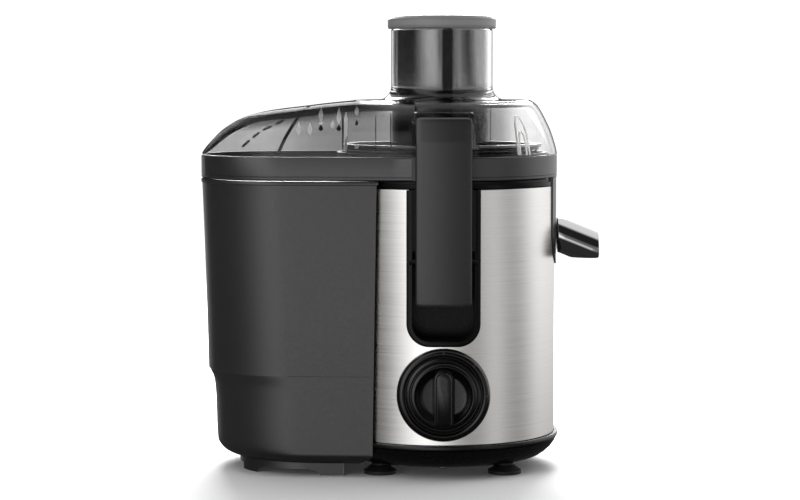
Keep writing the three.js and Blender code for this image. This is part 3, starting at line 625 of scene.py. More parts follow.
def housing():
    """The black inner tub: it shows as the collar, round the openings and behind the latches."""
    shell = BODY_R - 1.1
    inner = shell - 2.6
    deck, deck_top = 176.0, 179.0
    low, ledge, high = WRAP.z0, WRAP.z1 + GAP, HOUSING.z1
    profile = rounded([
        (shell, low), (shell, ledge), (BODY_R + 0.1, ledge, 0.5), (BODY_R + 0.1, 208.2),
        (BODY_R - 0.8, 208.4), (BODY_R - 0.8, high, 0.4), (inner, high, 0.5), (inner, deck_top, 3),
        (26, deck_top, 2), (24, 181.5, 1), (14, 181.5, 1), (12, deck_top - 0.5), (12, deck),
        (inner, deck), (inner, low),
    ])
    body = lathe("motor housing", profile, FINEST)
    trunk = keep(prism("trunk", slot_loop(-2, deck + 1), 54, 90, "yz"), disc(shell, 100, 200))
    union(body, trunk)
    cut(body, prism("slot", slot_loop(0, HOUSING.z1 + 9), 56, OUT, "yz"), *wall_openings())
    cut(body, *channels(WRAP.z1 - 1, HOUSING.z1 + 1))
    finish_piece(body, "base", BLACK, "black_plastic", "motor_housing")


def base_plate():
    """A bowl-shaped foot with a lip, radial vents, a ring groove and four screw wells."""
    lip, top = BASE.x1, BASE.z1
    bowl = [(0, 8), (66, 8), (70, 8.1), (73.2, 9.1), (77, 11.6), (80.6, 15), (83.2, 18.6), (84.5, 21.4)]
    rim = rounded([(84.0, 21.9), (lip, 22.3, 0.3), (lip, top, 0.5), (82.9, top), (82.9, 23), (78.3, 22)], 3)
    inside = [(74, 15), (68, 11), (0, 11)]
    plate = lathe("base plate", bowl + rim + inside, FINEST)
    cut(plate, lathe("ring groove", [(56, 7), (57.2, 7), (57.2, 8.8), (56, 8.8)], 128))
    slit = rounded([(20, -1.5, 1.4), (38, -1.5, 1.4), (38, 1.5, 1.4), (20, 1.5, 1.4)])
    for a in turns(14):
        vent = prism("vent", slit, 5, 9.6)
        spin_about_axis(vent, a + math.pi / 14)
        cut(plate, vent)
    for x, y in ((0, 62), (0, -62), (62, 0), (-62, 0)):
        cut(plate, lathe("well", [(0, 5), (4.7, 5), (4.7, 8.9), (2.3, 8.9), (2.3, 20), (0, 20)], 32, x, y))
    finish_piece(plate, "base", BASE_BLACK, "black_plastic", "base_plate", angle=28)


def spin_about_axis(obj, angle):
    """Turns a shape about the drive axis."""
    for vertex in obj.data.vertices:
        x, y = vertex.co.x - AXIS_X, vertex.co.y - AXIS_Y
        vertex.co.x = AXIS_X + x * math.cos(angle) - y * math.sin(angle)
        vertex.co.y = AXIS_Y + x * math.sin(angle) + y * math.cos(angle)


def feet_and_screws():
    """Four suction feet and four crosshead screws, where the frame has them."""
    for i in range(1, 5):
        x, y, _ = Span(f"suction_foot_{i}").middle
        profile = rounded([
            (0, 2.4), (8.5, 1.7, 1), (10.8, 0, 0.3), (12, 0, 0.5), (12, 2.7, 0.7), (10.6, 3.2, 0.5),
            (7.2, 6.0, 0.8), (6.4, 6.3, 0.4), (6.4, 7.7), (0, 7.7),
        ], 4)
        cup = lathe(f"suction foot {i}", profile, 64, x, y)
        finish_piece(cup, "base", RUBBER, "rubber", f"suction_foot_{i}")
        x, y, _ = Span(f"base_screw_{i}").middle
        head = [(0, 6.0), (2.8, 6.0, 0.8), (4, 6.9, 0.4), (4, 7.7), (1.9, 7.7), (1.9, 22), (0, 22)]
        screw = lathe(f"base screw {i}", rounded(head, 3), 40, x, y)
        for a, b in ((2.2, 0.45), (0.45, 2.2)):
            cut(screw, block("cross", x - a, x + a, y - b, y + b, 5, 7.2))
        finish_piece(screw, "base", IRON, "motor_iron", f"base_screw_{i}")


def cord_gland():
    """The rubber grommet at the back."""
    profile = rounded([
        (3.6, 74), (7.2, 74, 0.4), (7.2, 82.9), (10, 82.9, 0.6), (10, 85.4, 1.2), (7.6, 86, 0.6),
        (7, 87, 0.5), (3.6, 87, 0.6),
    ], 3)
    finish_piece(lathe_y("cord gland", profile, GLAND_Z, 64, 1), "base", RUBBER, "rubber", "cord_gland")


def sideways(path):
    """At each point of an open path, the unit vector to the left of its direction."""
    out = []
    for i in range(len(path)):
        along = (Vector(path[min(i + 1, len(path) - 1)]) - Vector(path[max(i - 1, 0)])).normalized()
        out.append(Vector((-along.y, along.x)))
    return out


def latch_pocket(name, side):
    """A raised border that follows the body, with a recessed tray behind it."""
    path = pocket_loop(0, WRAP.z1 - 0.2)
    path = path[1:] + path[:1]
    straight = [(path[0][0], path[0][1] + (path[1][1] - path[0][1]) * i / 24) for i in range(24)]
    rising = [(-x, z) for x, z in reversed(straight)]
    path = straight + path[1:-1] + rising
    tray_front = 77.0
    section = [(0, 0.3), (0, 1.1), (0.15, 1.45), (0.5, 1.6), (3.7, 1.6), (4.1, 1.45), (4.3, 1.1)]
    section += [(POCKET_BORDER, None), (2.4, None)]  # the last two reach back to the tray
    rings = []
    for (x, z), inward in zip(path, sideways(path)):
        ring = []
        for step, height in section:
            px, pz = x + inward.x * step, z + inward.y * step
            reach = tray_front if height is None else math.sqrt((BODY_R + height) ** 2 - px ** 2)
            ring.append((px, side * reach, pz))
        rings.append(ring)
    border = skin("border", rings)
    top = WRAP.z1 - 0.2
    tray = prism("tray", pocket_loop(2.2, top), *ordered(side, 53, tray_front), "xz")
    hollow = prism("hollow", pocket_loop(POCKET_BORDER, top + 9), *ordered(side, 55, 90), "xz")
    back_wall = block("back", -60, 60, *ordered(side, 0, 81.3), 162, FAR)
    cut(tray, cut(hollow, back_wall), block("above", -60, 60, *ordered(side, 0, 75.3), 164, FAR))
    screen = keep(
        prism("screen", pocket_loop(POCKET_BORDER - 0.1, top), *ordered(side, tray_front + 0.1, 81.2), "xz"),
        block("upper", -60, 60, -90, 90, 162, FAR),
    )
    shell = join(f"latch pocket {name}", [border, tray, screen])
    # Painted shade: border, tray and screen all take the near-black recess colour.
    finish_piece(shell, "base", POCKET_SHADED, "dark_grey_plastic", f"latch_pocket_{name}", angle=25)


EDGE_TURNS = (1.45, 0.95, 0.5)  # angles of the points that round the arm's long edges


def latch_arm(name, side):
    """The clamping arm: bowed face, round corners, lip leaning in at the top, two ears on its pin."""
    top, bottom, back = LATCH.z1, LATCH.z0, 82.5
    bend, foot, crown, bow, edge = 238.0, 3.4, 3.2, 1.9, 1.3
    levels = [bottom + foot * (1 - math.cos(a)) for a in quarter(6)]
    levels += [150, 180, 210, bend - 2, bend - 1, bend, bend + 1, bend + 2, 246]
    levels += [top - crown * (1 - math.sin(a)) for a in quarter(6)]
    rings = []
    for z in levels:
        at_foot = foot - across(foot, max(0, bottom + foot - z))
        at_crown = crown - across(crown, max(0, z - top + crown))
        half = LATCH_HALF - at_foot - at_crown
        front = -LATCH.y0 - at_foot * 0.6 - at_crown * 0.5 - max(0, z - bend) * 0.11
        spots = [(half - edge) * (i / 6 - 1) for i in range(13)]
        outer = [(x, front - bow * (x / LATCH_HALF) ** 2) for x in spots]
        corner_y = outer[0][1] - 0.15
        left = [(edge * (1 - math.sin(t)) - half, corner_y - edge * (1 - math.cos(t))) for t in EDGE_TURNS]
        right = [(-x, y) for x, y in reversed(left)]
        loop = [(-half, back)] + left + outer + right + [(half, back)]
        rings.append([(x, side * y, z) for x, y in loop])
    parts = [skin("arm", rings)]
    for x in (-14, 14):
        loop = [(83.2, PIVOT_Z - 9), (83.2, PIVOT_Z + 9)] + arc(79, PIVOT_Z, 4.6, 90, 270, 20)
        parts.append(prism("ear", [(side * y, z) for y, z in loop], x - 2, x + 2, "yz"))
    arm = join(f"latch arm {name}", parts)
    finish_piece(arm, f"latch_{name}", DARK_GREY, "dark_grey_plastic", f"latch_{name}", angle=35)


# ---- speed control ------------------------------------------------------------------------------
def knob_bezel():
    """The dark ring round the knob, with three ticks for its positions."""
    face = -BEZEL.y0
    profile = rounded([
        (14.2, 72), (26, 72), (BEZEL.x1, 72), (BEZEL.x1, face - 3.6, 2.2), (31.2, face - 0.5, 2.4),
        (28.9, face, 1.4), (27.7, face - 0.6, 0.5), (27.2, face - 2.2, 0.3), (26.7, face - 2.2, 0.3),
        (26.2, face - 1.1, 0.6), (24.4, face - 0.2, 0.8), (23.6, face - 0.8, 0.3), (23.6, face - 2.4),
        (14.2, face - 2.4),
    ], 4)
    bezel = lathe_y("knob bezel", profile, KNOB_Z, 160)
    cut(bezel, disc(BODY_R + GAP, 0, 120))
    ticks = []
    for degrees in (90, 45, 0):
        a = math.radians(degrees)
        u, v = Vector((math.cos(a), math.sin(a))), Vector((-math.sin(a), math.cos(a)))
        spots = [u * out + v * side for out, side in ((29.3, -0.5), (31.2, -0.5), (31.2, 0.5), (29.3, 0.5))]
        ticks.append(prism("tick", [(p.x, KNOB_Z + p.y) for p in spots], -face - 0.35, -face + 1.2, "xz"))
    sleeve = lathe_y("sleeve", [(4, 72), (14.2, 72), (14.2, face - 2.4), (4, face - 2.4)], KNOB_Z, 64)
    bezel = join("knob bezel", [bezel, sleeve, *ticks])
    finish_piece(bezel, "base", KNOB_BLACK, "black_plastic", "knob_bezel", angle=28)


def knob():
    """A round skirt and an upright grip with a pointer slot."""
    front = -KNOB.y0
    profile = rounded([
        (3.8, 85), (23.0, 85), (23.0, 91.0, 1.2), (20.6, 91.6, 0.8), (19.2, 90.4, 1.6), (15.5, 88.4, 5),
        (9, 88.3), (3.8, 88.3),
    ], 5)
    skirt = lathe_y("skirt", profile, KNOB_Z, 160)
    rings = []
    levels = (
        (88.0, -0.7), (89.0, -0.2), (90.5, 0.0), (98.2, 0.3), (99.2, 0.7), (99.4, 1.5), (99.3, 1.8),
        (100.4, 1.9), (front - 0.2, 2.2), (front, 2.7),
    )
    for depth, inset in levels:
        half, reach = 7.2 - inset, 20.6 - inset
        fan = math.degrees(math.asin(half / reach))
        loop = arc(0, 12.4, half, 0, 180, 28) + arc(0, 0, reach, 270 - fan, 270 + fan, 12)
        rings.append([(x, -depth, KNOB_Z + z) for x, z in loop])
    grip = skin("grip", rings)
    pointer = rounded([(-1.7, 4.4, 1.6), (1.7, 4.4, 1.6), (1.7, 13.8, 1.6), (-1.7, 13.8, 1.6)], 6)
    cut(grip, prism("pointer", [(x, KNOB_Z + z) for x, z in pointer], -front - 1, -front + 0.7, "xz"))
    whole = join("speed knob", [skirt, grip])
    finish_piece(whole, "knob", KNOB_BLACK, "black_plastic", "knob", angle=30)


# ---- juice collector and spout ------------------------------------------------------------------
HOOD_CORNER = 66.0
BOWL_R = 76.5
BOWL_T = 2.5
BOWL_FLOOR = 182.0
SPOUT_AXIS = 168.8
SPOUT_SLOPE = math.radians(22)
SPOUT_R = 12.25
DECK_LEAN = math.radians(6.4)  # the hood's side walls draw in towards the far end
TUB_LEAN = math.radians(3.4)
TUB_MEET = -46.0  # where the container's side walls are at full width


def tapered_plan(front, back, reach, corner, lean):
    """Level outline with side walls at reach from the axis, leaning in, and rounded far corners."""
    s, c = math.sin(lean), math.cos(lean)
    middle = back + corner
    side_y = (reach - corner + middle * s) / c
    length = middle - corner * s - front
    wall = [(x, (reach + x * s) / c) for x in [front + length * k / 8 for k in range(8)]]
    half = wall + arc(middle, side_y, corner, 90 + math.degrees(lean), 180, 24)
    return half + [(x, -y) for x, y in reversed(half)]


def deck_plan(inset, back):
    """The collector's outline: round over the body, side walls tangent to it, rounded far corners."""
    r, lean = COLLAR_R - inset, math.degrees(DECK_LEAN)
    far = tapered_plan(-r * math.sin(DECK_LEAN), back + inset, r, HOOD_CORNER - inset, DECK_LEAN)
    return arc(0, 0, r, -90 - lean, 90 + lean, 120) + far[1:-1]


def tub_plan(back, half, corner, front, lean=TUB_LEAN):
    reach = half * math.cos(lean) - TUB_MEET * math.sin(lean)
    return tapered_plan(front, back, reach, corner, lean)


def hood_half(x):
    """Half width of the hood at x."""
    s, c = math.sin(DECK_LEAN), math.cos(DECK_LEAN)
    middle = BACK_X + HOOD_CORNER
    if x > middle - HOOD_CORNER * s:
        return (COLLAR_R + x * s) / c
    side_y = (COLLAR_R - HOOD_CORNER + middle * s) / c
    return side_y + across(HOOD_CORNER, middle - x)


def stacked(name, outline, levels):
    """A solid from level outlines: levels are (z, inset)."""
    return skin(name, [[(x, y, z) for x, y in outline(inset)] for z, inset in levels])


def juice_collector():
    """The bowl under the sieve, its rim over body and container, and the trough behind the spout."""
    low, high = COLLAR_Z, COLLECTOR.z1 - 1.6
    rim = stacked("juice collector", lambda inset: deck_plan(inset, BACK_X - 0.7), [
        (low, 1.0), (low + 0.3, 0.3), (low + 0.8, 0.0), (low + 2.0, 0.0), (low + 2.25, 0.35),
        (low + 2.6, 0.35), (low + 2.85, 0.0), (high - 1.1, 0), (high - 0.4, 0.25), (high, 0.9),
    ])
    bowl = disc(BOWL_R, BOWL_FLOOR, COLLECTOR.z1)
    trough = keep(prism("trough", slot_loop(1.2, COLLAR_Z + 1), 57, OUT, "yz"), disc(83.6, 100, FAR))
    union(rim, bowl, trough)
    passage = prism("passage", deck_plan(3.2, BACK_X + 0.3), low - 1, high + 1)
    cut(passage, disc(BOWL_R, 0, FAR))
    inner, floor = BOWL_R - BOWL_T, BOWL_FLOOR + BOWL_T
    hollow = lathe("hollow", rounded([(0, floor), (inner, floor, 5), (inner, FAR), (0, FAR)]))
    duct = keep(prism("duct", slot_loop(3.4, FAR), 59.2, OUT, "yz"), disc(81.2, 100, FAR))
    cut(duct, cut(disc(OUT, BOWL_FLOOR, FAR), disc(inner, 0, FAR + 100)))
    outlet = [(8.5 * math.cos(a), SPOUT_AXIS - 0.5 + 8.5 * math.sin(a)) for a in turns(48)]
    cut(rim, passage, hollow, disc(14, 0, FAR, 64), duct, prism("outlet", outlet, 75, OUT, "yz"))
    cut(rim, *channels(COLLAR_Z - 1, high + 1))
    neck = rounded([(14, BOWL_FLOOR), (16, BOWL_FLOOR), (16, 196.5, 0.8), (14, 196.5, 0.8)], 3)
    union(rim, lathe("neck", neck, 64))
    finish_piece(rim, "collector", TUB_GREY, "dark_grey_plastic", "juice_collector", angle=30)
    round_normals(rim)


def spout():
    """A sloping chromed tube: upright ends, the underside opened by a level cut, all lips rounded."""
    ahead = Vector((math.cos(SPOUT_SLOPE), 0, -math.sin(SPOUT_SLOPE)))
    up = Vector((math.sin(SPOUT_SLOPE), 0, math.cos(SPOUT_SLOPE)))
    blunt = 2.2

    def ring(thin, share, shift):
        """One ring, thin mm inside the outer wall, at a share of each line's length and shift mm on."""
        out = []
        radius = SPOUT_R - thin
        for a in turns(128):
            start = Vector((SPOUT.x0, radius * math.sin(a), SPOUT_AXIS)) + up * (radius * math.cos(a))
            first = (SPOUT.x0 - start.x) / ahead.x
            drop = (SPOUT.z0 - start.z) / ahead.z
            last = (SPOUT.x1 - start.x) / ahead.x
            last = 0.5 * (last + drop - math.hypot(last - drop, blunt))
            out.append(tuple(start + ahead * (first + (last - first) * share + shift)))
        return out

    lips = [(1.5, 0.55), (1.35, 0.16), (0.95, 0), (0.5, 0), (0.14, 0.18), (0, 0.6)]
    shares = [k / 6 for k in range(1, 6)]
    rings = [ring(thin, 0, back) for thin, back in lips]
    rings += [ring(0, share, 0.55 - 1.15 * share) for share in shares]
    rings += [ring(thin, 1, -back) for thin, back in reversed(lips)]
    rings += [ring(1.5, share, 0.55 - 1.15 * share) for share in reversed(shares)]
    finish_piece(skin("spout", rings, wrap=True), "spout", CHROME, "chrome", "spout", angle=50)


# ---- sieve --------------------------------------------------------------------------------------
def sieve():
    """Mesh cone, rim ring, ribbed hub and the grater disc with its rings of teeth."""
    floor, rim, out = HUB.z1 - 3.8, SIEVE.z1, SIEVE.x1
    low, high, wall = MESH.z0, MESH.z1, 0.9
    mesh = lathe("sieve mesh", [(49, low), (49 + wall, low), (MESH.x1, high), (MESH.x1 - wall, high)])
    finish_piece(mesh, "sieve", SIEVE_SHEET, "sieve_steel", "sieve_mesh", angle=20)
    profile = rounded([
        (out - 4.5, rim - 4.2, 0.3), (out - 2, rim - 4.2, 0.5), (out - 1.6, rim - 2.6, 0.5),
        (out, rim - 2, 0.6), (out, rim, 0.7), (out - 4.5, rim, 0.6),
    ], 4)
    ring = lathe("sieve ring", profile, FINEST)
    finish_piece(ring, "sieve", SIEVE_RIM, "sieve_steel", "sieve_ring")
    hub_rim = 51.0
    hub = lathe("sieve hub", rounded([
        (0, floor - 13), (12.5, floor - 13, 0.6), (12.5, floor, 1.5), (hub_rim, floor, 1),
        (hub_rim, floor + 3.8, 0.4), (44, floor + 3.8, 0.3), (44, floor + 3), (0, floor + 3),
    ], 3))
    hexagon = [(9.7 * math.cos(a), 9.7 * math.sin(a)) for a in turns(6)]
    cut(hub, prism("socket", hexagon, floor - 20, floor - 1))
    for a in turns(12):
        rib = block("rib", 13.5, 47, -0.8, 0.8, floor - 3, floor + 0.5)
        spin_about_axis(rib, a + math.pi / 12)
        union(hub, rib)
    finish_piece(hub, "sieve", DARK_GREY, "dark_grey_plastic", "sieve_hub")
    top = floor + 4.3
    parts = [lathe("grater", [(0, top - 1), (43, top - 1), (43, top - 0.3), (42.7, top), (0, top)], 128)]
    foot = [(-1.1, -1.0), (1.1, -1.0), (1.1, 1.2), (-1.1, 1.2)]
    tip = [(-0.35, -0.9), (0.35, -0.9), (0.2, -0.5), (-0.2, -0.5)]
    for row in range(7):
        reach, count = 9 + 5 * row, 5 + 3 * row
        for a in turns(count):
            levels = ((foot, top - 0.2), (tip, top + 1.7))
            tooth = skin("tooth", [[(reach + x, y, z) for x, y in loop] for loop, z in levels])
            spin_about_axis(tooth, a + math.tau * 0.35 * reach / count)
            parts.append(tooth)
    finish_piece(join("grater disc", parts), "sieve", SIEVE_STEEL, "sieve_steel", "grater_disc")


# ---- lid and pusher -----------------------------------------------------------------------------
LID_T = 2.5
LID_TOP = 266.5
CHUTE_R = 36.9
CHUTE_T = 3.5
CHUTE_TOP = LID.z1
CHUTE_BOTTOM = LID.z0
FLARE_R = 10.0
BOSS_TOP = 259.0
HOOD_SHOULDER = 24.0
RIB_DEPTH = 0.8


def curve(points, steps):
    """A smooth curve through points, steps per span."""
    ends = [points[0]] + list(points) + [points[-1]]
    out = []
    for spans in zip(ends, ends[1:], ends[2:], ends[3:]):
        for k in range(steps):
            t = k / steps
            spot = []
            for a, b, c, d in zip(*spans):
                bend = (2 * a - 5 * b + 4 * c - d) * t ** 2 + (3 * b - a - 3 * c + d) * t ** 3
                spot.append(0.5 * (2 * b + (c - a) * t + bend))
            out.append(tuple(spot))
    return out + [tuple(points[-1])]


HOOD_CURVE = curve([
    (-20, LID_TOP), (-46, 266.4), (-66, 265.6), (-97.7, 262.2), (-134.8, 256.8), (-154.4, 247.5),
    (-166, 237), (BACK_X, LID_Z + 0.6),
], 9)


def mirrored(half):
    """A loop from its half where the first coordinate is positive."""
    return half + [(-u, v) for u, v in reversed(half)]


def hood(inset, floor):
    """The hood over the container: its top follows the curve, with a round shoulder on each side."""
    rings = []
    for x, z in HOOD_CURVE:
        half = hood_half(x) - inset
        top = max(floor + 0.5, z - inset)
        shoulder = min(HOOD_SHOULDER, max(0.3, (top - LID_Z) * 0.8), top - floor - 0.1)
        x = max(x, BACK_X + inset)
        right = arc(half - shoulder, top - shoulder, shoulder, 0, 90, 14)
        rings.append([(x, y, z) for y, z in mirrored([(half, floor)] + right)])
    return skin("hood", rings)


def dome(inset, floor):
    """The round part of the lid over the sieve."""
    side = curve([(COLLAR_R, LID_Z), (82.3, 235), (77.9, 247.3), (70.1, 261.8), (63.9, LID_TOP)], 8)
    if inset:
        flat = offset([(0, LID_Z - 40), (COLLAR_R, LID_Z - 40)] + side + [(0, LID_TOP)], inset)
        side = [p for p in flat if p[1] > LID_Z - 10 and p[0] > 30]
    rising = [p for p in side if p[1] > floor + 0.01]
    return lathe("dome", [(0, floor), (side[0][0], floor), *rising, (0, LID_TOP - inset)], FINEST)


def latch_boss(side):
    """The block on the lid's rim that a latch leans on, its front edge rounded."""
    rings = []
    for reach, inset in ((50, 0), (79.4, 0), (80.4, 0.3), (81.1, 0.9), (81.5, 1.9)):
        half, top = 22.0 - inset, BOSS_TOP - inset
        loop = rounded([(-half, LID_Z), (half, LID_Z), (half, top, 4.0), (-half, top, 4.0)], 8)
        rings.append([(x, side * reach, z) for x, z in loop])
    return skin("boss", rings)


def lid():
    """Dome, hood, two bosses and the feed chute as one clear shell."""
    outer = union(dome(0, LID_Z), hood(0, LID_Z), latch_boss(1), latch_boss(-1))
    inner = union(dome(LID_T, LID_Z - 5), hood(LID_T, LID_Z - 5))
    cut(outer, inner, *channels(LID_Z - 1, FAR))
    half, back = LATCH_HALF + 5, CHANNEL_Y - LID_T
    walls = [block("wall", -half, half, *ordered(side, back, CHANNEL_Y), LID_Z, 250) for _, side in SIDES]
    flare = arc(CHUTE_R + FLARE_R, LID_TOP + FLARE_R, FLARE_R, 270, 180, 16)
    foot = CHUTE_R - 0.9
    chute = lathe("chute", [
        (0, CHUTE_BOTTOM), (foot - 0.6, CHUTE_BOTTOM), (foot, CHUTE_BOTTOM + 0.6), (foot, LID_TOP - 1),
        (CHUTE_R + FLARE_R, LID_TOP - 1), *flare, (CHUTE_R, CHUTE_TOP - 0.7), (CHUTE_R - 0.5, CHUTE_TOP),
        (0, CHUTE_TOP),
    ], FINEST)
    union(outer, *walls, chute)
    cut(outer, disc(CHUTE_R - CHUTE_T, CHUTE_BOTTOM - 1, CHUTE_TOP + 1, FINEST))
    finish_piece(outer, "lid", CLEAR, "clear_plastic", "lid", angle=28)
    lid_ribs()
    lid_studs()
    lid_arches()


def near_wall(x, z):
    """The place along Y of the inside face of the hood's near wall at (x, z)."""
    wall = hood_half(x) - LID_T - 0.1
    shoulder = HOOD_SHOULDER - 2
    top = next((b for (a, b), (c, _) in zip(HOOD_CURVE, HOOD_CURVE[1:]) if c <= x <= a), LID_TOP) - LID_T
    over = min(shoulder - 0.5, max(0, z - (top - shoulder)))
    return shoulder - wall - across(shoulder, over)


def wall_strip(path, width):
    """A thin rib along (x, z) points on the inside of the hood's near wall."""
    rings = []
    for i, ((x, z), left) in enumerate(zip(path, sideways(path))):
        taper = width / 2 * (0.35 if i in (0, len(path) - 1) else 1)
        nx, nz = left * taper
        y1 = near_wall(x, z)
        y0 = y1 + RIB_DEPTH
        x0, x1, z0, z1 = x - nx, x + nx, z - nz, z + nz
        rings.append([(x1, y0, z1), (x1, y1, z1), (x0, y1, z0), (x0, y0, z0)])
    return skin("rib", rings)


# Middle lines of the broad rib and of the slim broken one, in X and Z.
RIB_PATH = (
    (-94.0, 262.6), (-97.2, 259.6), (-101.7, 254.3), (-109.4, 242.5), (-114.3, 232.7), (-115.7, 229.0),
)
ARC_PATH = (
    (-99.6, 257.8), (-106.1, 255.2), (-115.5, 250.4), (-126.6, 245.4), (-135.4, 238.9), (-144.2, 231.2),
)
# Rows of studs: places along X, middle height, height and width.
PALE_STUDS = (
    ((-101, -93.1), 246.6, 8.6, 3.3), ((-77.2,), 249.6, 5.4, 3.0), ((-73,), 255.4, 10.6, 3.2),
    ((-85.6,), 256.4, 8.6, 3.2), ((-60.5,), 258.6, 5.6, 3.0), ((-60.5,), 234.8, 3.6, 3.2),
    ((-85.6,), 250.6, 2.4, 2.6),
)
# The dark studs are painted shade and the pale ones painted highlight, for the drops' dark and bright
# reflections.
DARK_STUDS = (((-85.6, -73), 247.4, 4.2, 3.4), ((-60.5,), 251.0, 4.0, 2.2))


def upright(x, width):
    return wall_strip([(x, 231 + 3.8 * i) for i in range(8)], width)


def lid_ribs():
    """Dark guide ribs and dark studs on the near hood wall, their dark colour painted shade for the dark
    lines of the lid's creases and inner walls: broad and curved, slim and broken, one level, three upright.
    """
    parts = [wall_strip(curve(RIB_PATH, 8), 2.3)]
    path, step = curve(ARC_PATH, 10), 8
    parts += [wall_strip(path[i:i + step - 1], 1.7) for i in range(0, len(path) - step, step)]
    parts.append(wall_strip([(-143.6 + 2.3 * i, 230.6) for i in range(12)], 0.5))
    parts += [upright(x, width) for x, width in ((-70.2, 1.1), (-47.2, 0.6), (-36.7, 0.9))]
    parts += studs(DARK_STUDS)
    finish_piece(join("ribs", parts), "lid", RIB, "dark_grey_plastic", "lid", angle=20, label="lid_ribs")


def studs(rows):
    """Flat teardrops standing on the inside of the near hood wall."""
    parts = []
    for places, middle, height, wide in rows:
        for x in places:
            rings = []
            for k in range(11):
                t = k / 10
                size = wide / 2 * (0.06 + 0.94 * max(0, math.sin(math.pi * t ** 1.4)) ** 0.7)
                z = middle + height / 2 - height * t
                wall = near_wall(x, z) + 0.5
                rings.append([(x + size * math.cos(a), wall + 0.4 * math.sin(a), z) for a in turns(16)])
            parts.append(skin("stud", rings))
    return parts


def lid_studs():
    """Pale teardrop studs and a pale upright on the near hood wall, their pale colour a painted highlight.
    """
    pale = join("studs", studs(PALE_STUDS) + [upright(-68.0, 2.2)])
    finish_piece(pale, "lid", PALE, "clear_plastic", "lid", angle=40, label="lid_studs")


ARCH_PATHS = (
    ((52.6, 228), (50.9, 243), (50.2, 252.0), (51.6, 255.6), (54.6, 252.0), (58.4, 242), (60.8, 228)),
    ((54.0, 228), (53.2, 238), (53.6, 244.6), (55.6, 243.0), (57.4, 237), (58.6, 228)),
)


def lid_arches():
    """Two narrow pale arches moulded inside the dome's near wall, right of the latch, their pale colour a
    painted highlight.
    """
    arches = []
    for points in ARCH_PATHS:
        rings = []
        for x, z in curve(points, 6):
            y = 3.4 - across(82.0 - 0.26 * max(0, z - 228), x)
            rings.append([(x + 0.7 * math.cos(a), y + 0.7 * math.sin(a), z) for a in turns(10)])
        arches.append(skin("arch", rings))
    finish_piece(join("arches", arches), "lid", PALE, "clear_plastic", "lid", angle=50, label="lid_arches")


SLIT_X = 3.4
SLIT_HALF = 3.6


def pusher():
    """A grey cap on a smoked tube with a bead and a groove down its front, painted dark by a black strip
    laid in it: painted shade.
    """
    r = CAP.x1
    z = CAP.z0
    profile = rounded([
        (0, z), (r - 0.8, z, 0.6), (r, z + 0.9, 0.6), (r, z + 6.6, 1.6), (r - 2.2, z + 8.9, 3),
        (r - 9, z + 11.0, 6), (r - 19, z + 12.3, 10), (0, CAP.z1),
    ], 8)
    cap = lathe("pusher cap", profile, FINEST)
    groove = rounded([(r - 0.35, z + 1.5), (r + 1, z + 1.5), (r + 1, z + 1.9), (r - 0.35, z + 1.9)])
    cut(cap, lathe("groove", groove, FINEST))
    finish_piece(cap, "pusher", CAP_GREY, "mid_grey_plastic", "pusher_cap", angle=35)
    top, bottom, radius, wall = CAP.z0 - GAP, PUSHER.z0, PUSHER.x1, 2.4
    body = lathe("pusher body", rounded([
        (0, bottom), (radius - 2.2, bottom, 0.8), (radius, bottom + 2, 0.8), (radius, top),
        (radius - wall, top), (radius - wall, bottom + wall), (0, bottom + wall),
    ], 4), FINEST)
    foot = bottom + 12

    def slit(half, low, high, front, back):
        x0, x1 = SLIT_X - half, SLIT_X + half
        loop = rounded([(x0, low, 3), (x1, low, 3), (x1, high), (x0, high)], 6)
        return prism("slit", loop, front - radius, back - radius, "xz")

    cut(body, slit(SLIT_HALF + 0.5, foot, top + 1, -1, 0.3), slit(SLIT_HALF, foot, top + 1, -1, 0.9))
    bead_x = SLIT_X + SLIT_HALF + 2.6
    bead_y = 0.55 - across(radius, bead_x)
    bead = lathe("bead", [(0, foot + 2), (1.0, foot + 2), (1.0, top), (0, top)], 24, bead_x, bead_y)
    finish_piece(union(body, bead), "pusher", SMOKED, "smoked_plastic", "pusher_body")
    # Painted shade: a black strip laid in the groove so that it reads dark.
    strip = slit(SLIT_HALF - 0.1, foot + 0.1, top - 0.1, 0.55, 0.88)
    finish_piece(strip, "pusher", BLACK, "black_plastic", "pusher_body", label="pusher_groove")


# ---- pulp container -----------------------------------------------------------------------------
TUB_T = 2.3
TUB_NOTCH = 85.8  # radius of the hollow that clasps the body
TUB_FLOOR = TUB.z0 + 9.5
TUB_HALF = 72.0
TUB_CORNER = 64.0
TUB_FRONT = -25.0
RIM_BACK = -174.4
# Height and place along X of the container's far wall.
TUB_BACK = (
    (9.5, -152), (10.3, -155.6), (12.5, -159), (16.0, -162), (20.5, -164), (36, -164.7), (52, -165.2),
    (62.5, -166.2), (66.4, -167.2), (69.4, -168.6), (72.5, -170.1), (75, -170.5), (105, -171.1),
    (156, -172.5), (TUB.z1, RIM_BACK),
)
SKIRT_ARCH = rounded([
    (-133.8, -1), (-86.4, -1), (-89.4, 2.8, 1), (-94.6, 4.6, 3), (-127, 4.6, 3), (-131.8, 2.8, 1),
], 4)


def tub(inset):
    """The container's walls and floor as one solid, or its hollow if inset."""
    rings = []
    for i, (z, back) in enumerate(curve(TUB_BACK, 3)):
        level = z
        if inset:
            if z < TUB_FLOOR + inset and i % 3:
                continue
            level = max(z, TUB_FLOOR + inset) if z < TUB.z1 - 1 else z + 3
            if rings and level <= rings[-1][0][2] + 0.05:
                continue
        rise = z - TUB_FLOOR
        pinch = 7 * max(0, 1 - rise / 6) ** 1.4
        half = TUB_HALF - 2 + 2 * rise / (TUB.z1 - TUB_FLOOR) - inset - pinch
        rings.append([(x, y, level) for x, y in tub_plan(back + inset, half, TUB_CORNER - inset, TUB_FRONT)])
    return skin("tub", rings)


def band_plan(inset):
    return tub_plan(RIM_BACK + inset, TUB_HALF - inset, TUB_CORNER - inset, TUB_FRONT)


def skirt_plan(inset):
    return tub_plan(-147.5 + inset, 57 - inset, 50 - inset, -70.7 - inset, 0)


